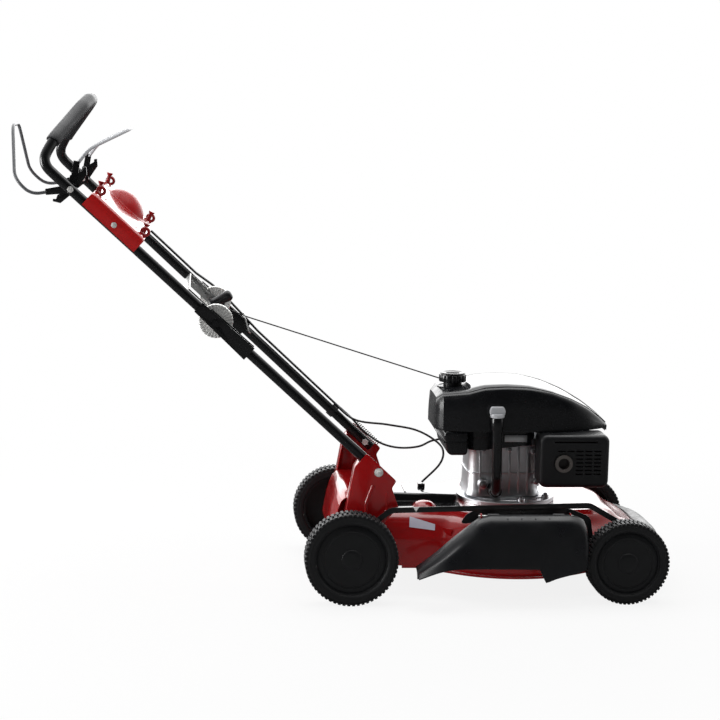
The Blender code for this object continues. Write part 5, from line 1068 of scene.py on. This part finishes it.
depths = [(0.011, -0.134), (0.008, -0.1338), (0.0052, -0.1328), (0.0028, -0.131), (0.0012, -0.1288),
          (0.0003, -0.126), (0, -0.122), (0, -0.09), (0, -0.0715), (0.0025, -0.0715), (0.0025, -0.1255),
          (0.0048, -0.1292), (0.011, -0.1315)]
guard = skin([stood(round_box((0.119, 0.2293), (0.2735, 0.3472), 0.016 - inset * 0.6, grow=-inset), y)
              for inset, y in depths])
openings, lips = [], []
for column, row in [(c, r) for c in range(3) for r in range(7)] + [(-2, 6), (-1, 6)]:
    x, z = 0.199 + 0.02 * column, 0.2628 + 0.0085 * row
    openings.append(block((x, -0.145, z - 0.0038), (x + 0.0155, -0.125, z)))
    lips.append(plate([(-0.1342, z - 0.0004), (-0.1342, z + 0.001), (-0.1322, z + 0.001),
                       (-0.1298, z - 0.0016), (-0.1304, z - 0.002)], x, x + 0.0155, "X"))
cut(guard, across(*OUTLET, -0.14, -0.12, 0.0203, sides=64), *openings,
    block((0.15, -0.145, 0.33), (0.246, -0.125, 0.3335)))
collar = turned([(0.0204, -0.131), (0.0204, -0.1338), (0.0212, -0.134), (0.0222, -0.1338), (0.023, -0.133),
                 (0.023, -0.131)], 64, "Y", OUTLET_CENTRE)
guard = joined(guard, collar, *lips)
fitted(guard, "heat_guard", heat_black, "mower", "muffler_guard", smooth=34)

outlet = turned([(0.0128, -0.12), (0.0195, -0.12), (0.0195, -0.1392), (0.0188, -0.1404), (0.0165, -0.1408),
                 (0.0142, -0.1402), (0.0128, -0.1388)], 64, "Y", OUTLET_CENTRE)
baffle = turned([(0, -0.1262), (0.0128, -0.1262), (0.0128, -0.125), (0, -0.125)], 48, "Y", OUTLET_CENTRE)
fitted(joined(outlet, baffle), "exhaust_end", outlet_steel, "mower")


# Air filter
# The filter's black box is clipped to the engine's left side, and a ribbed lid opens it.

box = skin([stood(round_box((-0.02, 0.3), (0.112, 0.372), 0.012, 0, 6, -inset), y) for inset, y in (
    (0.0015, 0.1061), (0, 0.1075), (0, 0.148), (0.0012, 0.1508), (0.0045, 0.152), (0.005, 0.154),
    (0.0062, 0.155))])
rib = [(0.1545, 0.312), (0.1545, 0.36), (0.1559, 0.358), (0.1559, 0.314)]
ribs = [plate(rib, x - 0.0018, x + 0.0018, "X", 0.0005) for x in (0.005, 0.021, 0.037, 0.053, 0.069, 0.085)]
box = joined(box, across(0.046, 0.3155, 0.1101, 0.0704, 0.0075), *ribs)
fitted(box, "filter_box", shroud_black, "mower", "air_filter", smooth=32)


# Lower handle
# Two straight black-painted tubes rise from the brackets. Each ends in a folded channel with a zinc
# disc of radial teeth. The left one carries a bent wire eye for the starter rope.

TUBE_RADIUS = 0.011
BRACKET_BOLT_UP, TEETH = -0.4766, 28
ROPE_EYE = Vector((-0.524, 0.166, 0.5665))


def tube_y(up):
    """How far out the left tube's middle lies at a height along the handle."""
    return 0.189 + 0.054 * up


def tooth_disc(face, back):
    """A pressed zinc disc: teeth round its face, and a raised hub with a bore."""
    rings = []
    out = 1 if face > back else -1
    for k in range(TEETH * 4):
        angle = math.tau * k / (TEETH * 4)
        low = face - out * (0, 0.0007, 0.0019, 0.0007)[k % 4]
        rear = back + out * (0, 0.0006, 0.0016, 0.0006)[k % 4]
        rings.append([Vector((r * math.cos(angle), y, r * math.sin(angle))) for r, y in (
            (0.005, back), (0.019, back), (0.0205, rear), (0.035, rear), (0.036, rear + out * 0.0009),
            (0.036, low - out * 0.0006), (0.0354, low), (0.02, low), (0.0185, face - out * 0.0024),
            (0.013, face - out * 0.0026), (0.0118, face - out * 0.0012), (0.0075, face - out * 0.0012),
            (0.005, face - out * 0.0018))])
    return outward(skin(rings + [rings[0]], capped=False))


def discs(face, back, name, body):
    """Fits a toothed disc and its mirror image on the two sides of the handle."""
    for side, disc in pair(tooth_disc(face, back)):
        fitted(disc, name + "_rosette_" + side, pressed_zinc, body, frame_of=HANDLE, smooth=25)


def channel():
    """The folded sheet channel, open in front, with its lower and upper ends stepped."""
    low, high, near, far = -0.095, 0.05, 0.17147, 0.2055
    shell = block((-0.0165, near, low), (0.0165, far, high))
    hollow = block((-0.0145, near + 0.002, low - 0.01), (0.03, far - 0.002, high + 0.01))
    for part, share in ((shell, 0.78), (hollow, 0.72)):
        editing(part)
        pick(part, lambda face: face.normal.z > 0.9)
        bpy.ops.transform.resize(value=(share, 1, 1), center_override=(0, 0, high))
        bpy.ops.object.mode_set(mode="OBJECT")
    cut(shell, hollow, block((-0.03, near - 0.01, 0.024), (0.03, 0.1835, high + 0.01)),
        across(0, 0, 0.1, 0.3, 0.0046))
    return soften(shell, 0.0007, 2, 40)


def smooth_path(points, steps):
    """Points on a smooth curve through the given ones."""
    points = [Vector(p) for p in points]
    points = [2 * points[0] - points[1]] + points + [2 * points[-1] - points[-2]]
    path = []
    for a, b, c, d in zip(points, points[1:], points[2:], points[3:]):
        path += [curved(a, b, c, d, step / steps) for step in range(steps)]
    return path + [points[-2]]


tube_paint = coated("tube_paint", (0.0065, 0.0068, 0.0075), 0.20, 700.0, 0.00002)
stay = soften(tube([(0, tube_y(up), up) for up in (-0.4966, -0.022)], TUBE_RADIUS, 32), 0.0012, 2, 60)
cut(stay, across(0, BRACKET_BOLT_UP, 0.1, 0.25, 0.0046))
for side, stay in pair(joined(stay, channel())):
    fitted(stay, "lower_tube_" + side, tube_paint, "mower", "lower_handle_" + side,
           frame_of=HANDLE)
    dressed(tube_paint, "fold_bolt_" + side)

eye = HANDLE_LEAN.inverted() @ (ROPE_EYE - FOLD)
inside = tube_y(-0.112) - TUBE_RADIUS
wire = [(0.002, inside + 0.003, -0.112), (0.004, inside - 0.0035, -0.102),
        (eye.x - 0.004, eye.y + 0.002, eye.z - 0.01)]
for k in range(10):
    angle = math.radians(200 + 34 * k)
    wire.append((eye.x + 0.005 * math.sin(angle), eye.y - 0.005 * math.cos(angle),
                 eye.z - 0.004 + 0.0009 * k))
fitted(tube(smooth_path(wire, 6), 0.0015, 12), "rope_eye", zinc_plate, "mower", frame_of=HANDLE)
discs(0.16497, 0.17147, "lower", "mower")


# Upper handle
# One bent tube of the same black runs up from the fold, over the grip bar and down again. At its foot
# a strap on each side holds the mating toothed disc.

def whole(points):
    """The points of the left half of a bent tube, with their mirror images put before them."""
    return [(x, -y, z) for x, y, z in points] + points[::-1]


bends = [(0, tube_y(0.026), 0.026), (0, tube_y(0.487), 0.487), (0.05, 0.188, 0.5), (0.132, 0.088, 0.507),
         (0.149, 0.04, 0.508)]
loop_line = rounded(whole(bends), 0.05, 12)
arm = soften(block((-0.009, 0.15487, 0.0385), (0.009, tube_y(0.0385) - 0.007, 0.0495)), 0.0015, 3, 30)
strap = soften(block((-0.0085, 0.15487, 0.01), (0.0085, 0.15837, 0.0485)), 0.0015, 3, 30)
feet = joined(arm, strap)
loop = joined(tube(loop_line, TUBE_RADIUS, 32), feet, copied(feet, MIRROR))
fitted(loop, "upper_tube", tube_paint, "upper_handle", "upper_handle", frame_of=HANDLE)
discs(0.16437, 0.15787, "upper", "upper_handle")
dressed(pressed_zinc, "lever_bolt_left", "lever_bolt_right")


# Lock lever
# A wide zinc strap bent to a U joins the two fold bolts, and clamps the toothed discs when it is
# swung down.

outline = [(-0.1541, 0.0868), (0.1541, 0.0868), (0.1541, -0.011), (0.1519, -0.011), (0.1519, 0.0846),
           (-0.1519, 0.0846), (-0.1519, -0.011), (-0.1541, -0.011)]
strap = cut(plate(outline, -0.011, 0.011, "X"), across(0, 0, -0.2, 0.2, 0.0046))
soften(strap, 0.0006, 2, 40)
fitted(strap, "lock_strap", zinc_plate, "lock_lever", "lock_lever", frame_of=HANDLE)


# Grip sleeve
# Closed-cell black foam is pushed over the top bar and both its corners. Its skin is fine-pored and
# a little shiny from hands.

foam = Finish("grip_foam", (0.011, 0.0115, 0.0135), 0.50)
pores = foam.ramp(foam.cells(420.0), 0.05, 0.45)
foam.tint(pores, 0.45)
foam.sheen(18.0, 3.0, 0.38, 0.58)
foam.bump(pores + foam.noise(900.0, 2.0) * 0.5, 0.00004, 0.4)
sleeve = soften(tube([p for p in loop_line if p.x > 0.045], 0.0145, 40), 0.002, 3, 60)
fitted(sleeve, "foam_sleeve", foam, "upper_handle", "grip_sleeve", frame_of=HANDLE)


# Panel
# A glossy red moulding is clipped across the tubes, with its sides turned down over them and a round
# dome in its middle. A small red clip stands at each corner.

red_gloss = Finish("red_gloss_plastic", (0.50, 0.012, 0.012), 0.12, coat=0.5)
red_gloss.tint(red_gloss.noise(7.0, 3.0), 0.06)
red_gloss.sheen(45.0, 5.0, 0.09, 0.22)
red_gloss.bump(red_gloss.noise(120.0, 1.0), 0.00002, 0.2)
red_matt = moulded("red_matt_plastic", (0.30, 0.006, 0.008), 0.34, 900.0, 0.00003, worn=0.08)
red_dome = moulded("red_dome", (0.42, 0.008, 0.009), 0.30, 900.0, 0.00001, worn=0.06)
red_dome.shader.inputs["Specular IOR Level"].default_value = 0.15
PANEL_UP, BAIL_BOLT_UP = 0.29775, 0.4063

rows = []
for z, drop in ((0.2263, 0.0042), (0.2275, 0.0022), (0.2305, 0.0008), (0.236, 0.0001), (0.24, 0), (0.26, 0),
                (0.2978, 0), (0.335, 0), (0.3555, 0), (0.36, 0.0001), (0.365, 0.0008), (0.368, 0.0022),
                (0.3692, 0.0042)):
    half = [(x, -y, z) for x, y in ((-0.006, 0.225), (0.002, 0.225), (0.01, 0.225))]
    half += [(0.03 - drop + rise, -y, z) for rise, y in (
        (-0.011, 0.225), (-0.007, 0.2244), (-0.0042, 0.2228), (-0.002, 0.2196), (-0.0007, 0.215), (0, 0.209),
        (0.0021, 0.17), (0.0044, 0.13), (0.0058, 0.1), (0.006, 0.06), (0.006, 0.02))]
    rows.append([Vector(p) for p in half + [(x, -y, z) for x, y, z in half[::-1]]])
panel = modify(skin(rows, closed=False, capped=False), "SOLIDIFY", thickness=0.0025, offset=-1)
if panel.data.polygons[len(panel.data.polygons) // 2].normal.x < 0:
    panel.data.flip_normals()
cut(panel, pin((0, 0, PANEL_UP), (0.08, 0, PANEL_UP), 0.045, sides=64))
crown = [(r, 0.0077 + math.sqrt(0.0562 ** 2 - r * r)) for r in (
    0.0005, 0.006, 0.012, 0.018, 0.024, 0.03, 0.035, 0.039, 0.042, 0.0445, 0.0465)]
brim = [(0.048, 0.0378), (0.05, 0.037), (0.053, 0.0366), (0.053, 0.0345), (0.047, 0.0345), (0.044, 0.04),
        (0.039, 0.045), (0.025, 0.056), (0, 0.061)]
dome = turned([(0, 0.0639)] + crown + brim, 96, "X", (0, 0, PANEL_UP))
clips = []
for z, up in ((0.2363, 0.006), (0.3592, 0.01)):
    for side in (-1, 1):
        y, foot, lean = side * 0.19, Vector((0.029, side * 0.172, z)), Vector((0.0185, 0, up))
        seat = soften(block((0.026, y - 0.0065, z - 0.0085), (0.034, y + 0.0065, z + 0.0085)), 0.0022, 3, 30)
        ring = [(0.0385 + 0.0072 * math.cos(math.tau * k / 28), y, z + 0.0078 * math.sin(math.tau * k / 28))
                for k in range(28)]
        head = soften(pin(foot + lean * 0.96, foot + lean * 1.26, 0.0048, 0.0074, 20), 0.001, 3)
        clips += [seat, tube(ring, 0.0033, 14, cyclic=True), pin(foot, foot + lean, 0.0052, 0.0038, 20), head]
fitted(joined(*clips), "panel_clips", red_matt, "upper_handle", frame_of=HANDLE, smooth=32)
fitted(dome, "panel_dome", red_dome, "upper_handle", frame_of=HANDLE, smooth=40)
feet = [block((0.0113, y - 0.008, 0.2778), (0.0293, y + 0.008, 0.3178))
        for y in (-tube_y(PANEL_UP), tube_y(PANEL_UP))]
beads = [tube(rounded([(0.0312, -0.185, z), (0.0345, -0.12, z), (0.0358, -0.085, z)], 0.01), 0.0016)
         for z in (0.256, 0.34)]
beads += [copied(bead, MIRROR) for bead in beads]
panel = joined(panel, *feet, *beads)
fitted(panel, "red_panel", red_gloss, "upper_handle", "control_panel", frame_of=HANDLE,
       smooth=32)
screws = [bolt_head((0.0075, side * 0.2249, 0.293), (0, side, 0), 0.008, 0.0026, 0.001) for side in (-1, 1)]
screws += [bolt_head((0, side * 0.2267, BAIL_BOLT_UP), (0, side, 0), 0.006, 0.0012) for side in (-1, 1)]
fitted(joined(*screws), "panel_screws", pressed_zinc, "upper_handle", frame_of=HANDLE)


# Bails
# The drive bail and the engine brake bail are bent steel wires dipped in grey plastic. Each is held
# in two black moulded levers that turn on the handle's bolts, with a hook for its cable's end.

bail_grey = moulded("bail_grey", (0.085, 0.088, 0.095), 0.34, 900.0, 0.00002, worn=0.10)
bail_pale = moulded("bail_pale", (0.50, 0.51, 0.53), 0.36, 900.0, 0.00002, worn=0.06)
lever_black = moulded("lever_black", (0.0075, 0.0078, 0.0088), 0.28, 1000.0, 0.00003)


def bail(name, finish, y, arm, hook, wire):
    """One bail: a lever each side, from its hub's place, arm and hook, and the wire between them."""
    place = Matrix.Translation((0, 0, BAIL_BOLT_UP))
    blade = plate(band(rounded(arm, 0.02, 5), 0.0093, -0.0093, 0.3), y - 0.0047, y + 0.0047, "Y", 0.0016, 3)
    hub = soften(across(0, 0, y - 0.0052, y + 0.0052, 0.0124), 0.001, 3)
    lever = joined(blade, hub, plate(hook, y - 0.0036, y + 0.0036, "Y", 0.0009))
    cut(lever, across(0, 0, y - 0.02, y + 0.02, 0.0046))
    for side, lever in pair(lever):
        lever.data.transform(place)
        fitted(lever, name + "_lever_" + side, lever_black, name + "_bail", frame_of=HANDLE)
    rod = tube([place @ p for p in rounded(whole(wire), 0.062, 12)], 0.0035, 16)
    fitted(rod, name + "_wire", finish, name + "_bail", name + "_bail", frame_of=HANDLE)


inner, outer = 0.18149, 0.19259
bail("drive", bail_grey, inner, [(0, 0), (-0.02, 0.016), (-0.042, 0.034)],
     [(-0.008, 0.004), (-0.03, 0.012), (-0.038, 0.0085), (-0.042, 0.0135), (-0.046, 0.01), (-0.038, -0.004),
      (-0.008, -0.008)],
     [(-0.032, inner, 0.0255), (-0.0666, inner, 0.0521), (-0.0665, 0.168, 0.0987), (0.003, 0.063, 0.1809)])
bail("brake", bail_pale, outer, [(0, 0), (0.024, 0.013), (0.05, 0.03)],
     [(0.008, 0.006), (0.032, 0.012), (0.044, 0.0085), (0.049, 0.0125), (0.054, 0.008), (0.043, -0.004),
      (0.01, -0.009)],
     [(0.04, outer, 0.0245), (0.084, outer - 0.012, 0.0291), (0.1637, 0.075, -0.0021)])


# Starter rope and grip
# A braided black rope comes out of the shroud's back, turns through the wire eye and ends in a
# T-shaped moulded grip.

rope_black = Finish("rope_black", (0.014, 0.014, 0.016), 0.7)
waves = {"Vector": rope_black.here, "Scale": 260.0, "Distortion": 1.5, "Detail": 1.0}
strands = rope_black.node("ShaderNodeTexWave", waves, output="Fac", bands_direction="DIAGONAL")
rope_black.tint(strands, 0.4)
rope_black.bump(strands, 0.00025, 0.7)
entry, rest = Vector((-0.066, 0.06, 0.4362)), Vector((-0.578, 0.122, 0.608))
pull = Vector((-0.33, -0.06, 0.94)).normalized()
foot = rest - pull * 0.016
start = entry + (ROPE_EYE - entry).normalized() * 0.002
path = [start.lerp(ROPE_EYE, k / 40) for k in range(38)]
path += rounded([start.lerp(ROPE_EYE, 0.96), ROPE_EYE, foot], 0.01, 8)
path = path[:-1] + [path[-2].lerp(foot, k / 6) for k in range(1, 7)]
rope = fitted(tube(path, 0.0015, 10), "starter_cord", rope_black, None, "starter_rope", smooth=80)
MOWER @ foot
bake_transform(rope)

half = [(0, 0.029), (0.005, 0.0288), (0.009, 0.0272), (0.0118, 0.024), (0.0127, 0.0205), (0.0121, 0.014),
        (0.0115, 0.006)]
handle = turned(half + [(0.0113, 0)] + [(r, -h) for r, h in half[::-1]], 40)
handle.data.transform(Matrix.Translation(rest) @ facing((0.87, 0, 0.49)))
stem = soften(pin(rest - pull * 0.0145, rest + pull * 0.004, 0.0058, 0.0088), 0.0009)
handle = joined(handle, stem)
fitted(handle, "starter_tee", lever_black, "starter_grip", "starter_grip", smooth=40)


# Cables, clip and spring
# Two black vinyl-covered cables run down the left tubes, held by a moulded clip. One goes to the belt's
# clutch and one to the engine's brake. A coil spring is hooked along the tube's foot.

vinyl = moulded("cable_vinyl", (0.0080, 0.0082, 0.0090), 0.26, 600.0, 0.00002)
RISE = 0.0169  # how far before the tube's middle the cables lie
LIFT = 0.0229  # how far before it they pass the fold


def on_tube(up, out=RISE, step=0.0):
    """A point beside the left tube: so far up it, out before it, and a step to the side."""
    return Matrix.Translation(FOLD) @ HANDLE_LEAN @ Vector((out, tube_y(up) + step, up))


def finer(points):
    """A path, less its last point, with a point every 12 mm or so, that it may bend anywhere."""
    path = []
    for a, b in zip(points, points[1:]):
        count = max(1, round((b - a).length / 0.012))
        path += [a.lerp(b, k / count) for k in range(count)]
    return path


drive = [on_tube(-0.345, RISE, -0.004), (-0.268, 0.15, 0.329), (-0.1926, 0.12, 0.3222), (-0.13, 0.1, 0.314),
         (-0.088, 0.08, 0.295), (-0.0691, 0.06, 0.274), (-0.078, 0.045, 0.245), (-0.12, 0.028, 0.2074)]
brake = [on_tube(-0.372, RISE, 0.0035), on_tube(-0.415, RISE + 0.002, -0.0105), (-0.245, 0.15, 0.302),
         (-0.205, 0.14, 0.275), (-0.1635, 0.125, 0.2668), (-0.12, 0.104, 0.274), (-0.0895, 0.0935, 0.29),
         (-0.05, 0.089, 0.297), (-0.02, 0.07, 0.3), (-0.0057, 0.067, 0.3)]
for name, step, route in (("drive", -0.004, drive), ("brake", 0.004, brake)):
    upper = [on_tube(up, out, step) for up, out in (
        (0.215, RISE), (0.075, RISE), (0.03, LIFT), (-0.03, LIFT), (-0.12, RISE))]
    lower = smooth_path(route, 8)
    cable = tube(finer(upper + lower[:1]) + lower, 0.0025, 12)
    cable = fitted(cable, name + "_line", vinyl, None, name + "_cable", smooth=80)
    MOWER @ on_tube(-0.055, 0)
    MOWER @ on_tube(0.055, 0)
    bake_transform(cable)
dressed(lever_black, "cable_clip")

coil = []
for k in range(281):
    up, angle = -0.505 + 0.074 * k / 280, math.tau * k / 20
    coil.append((0.0189 + 0.0062 * math.cos(angle), tube_y(up) - 0.002 + 0.0062 * math.sin(angle), up))
coil = tube(coil, 0.0013, 10)
fitted(coil, "coil_spring", zinc_plate, "mower", "lift_spring", frame_of=HANDLE, smooth=80)


# Deck fittings
# A black pressed frame stands round the discharge opening, behind the height link. A low red dome
# covers a rivet, a thin black plate beside the belt channel is painted shade for the deck's top in
# the engine's shadow, and a pale plate on the side is left bare.

outline = rounded([(-0.064, 0.165), (-0.05, 0.186), (-0.028, 0.1975), (0.178, 0.1975), (0.222, 0.18),
                   (0.23, 0.13), (0.226, 0.08), (0.205, 0.078), (0.205, 0.12), (0.19, 0.172),
                   (0.172, 0.18)], 0.02, 6, cyclic=True)
edge = plate(outline, -0.1962, -0.1942, "Y", 0.0006)
fitted(edge, "discharge_frame", hood_black, "mower")

bump = turned([(0, 0.193), (0.006, 0.1927), (0.012, 0.1916), (0.018, 0.1893), (0.0225, 0.1858),
               (0.0255, 0.1822), (0.0275, 0.1806), (0.029, 0.179), (0, 0.179)],
               64, "Z", (-0.129, -0.093, 0))
fitted(bump, "rivet_dome", red_enamel, "mower", smooth=40)

# A thin black sheet laid on the deck: painted shade, standing for the deck's red top darkened in the engine's
# shadow.
shade_sheet = plate(round_box((-0.25, -0.128), (-0.048, -0.0545), 0.012, 0, 6), 0.1801, 0.1813, "Z", 0.0005)
fitted(shade_sheet, "painted_shade_plate", gloss_black, "mower")

scale_plate = Finish("scale_plate", (0.58, 0.56, 0.66), 0.35)
scale_plate.tint(scale_plate.noise(9.0, 3.0), 0.06)
scale_plate.sheen(40.0, 4.0, 0.28, 0.45)
bpy.ops.mesh.primitive_grid_add(x_subdivisions=24, y_subdivisions=10, size=1)
label = bpy.context.object
for corner in label.data.vertices:
    u, v = corner.co.x + 0.5, corner.co.y + 0.5
    foot, top = 0.154 - 0.0079 * u, 0.1777 - 0.0178 * u
    sight = MOWER @ Vector((-0.1706 + 0.0557 * u, -0.178, foot + (top - foot) * v)) - camera.location
    place = deck.ray_cast(camera.location, sight.normalized())[1]
    corner.co = MOWER.inverted() @ (place - sight.normalized() * 0.0007)
modify(label, "SOLIDIFY", thickness=0.0004, offset=0)
fitted(label, "scale_plate", scale_plate, "mower", smooth=60)

nuts = [bolt_head((0, side * 0.1864, BRACKET_BOLT_UP), (0, side, 0), 0.0092, 0.003) for side in (-1, 1)]
fitted(joined(*nuts), "bracket_nuts", pressed_zinc, "mower", frame_of=HANDLE)
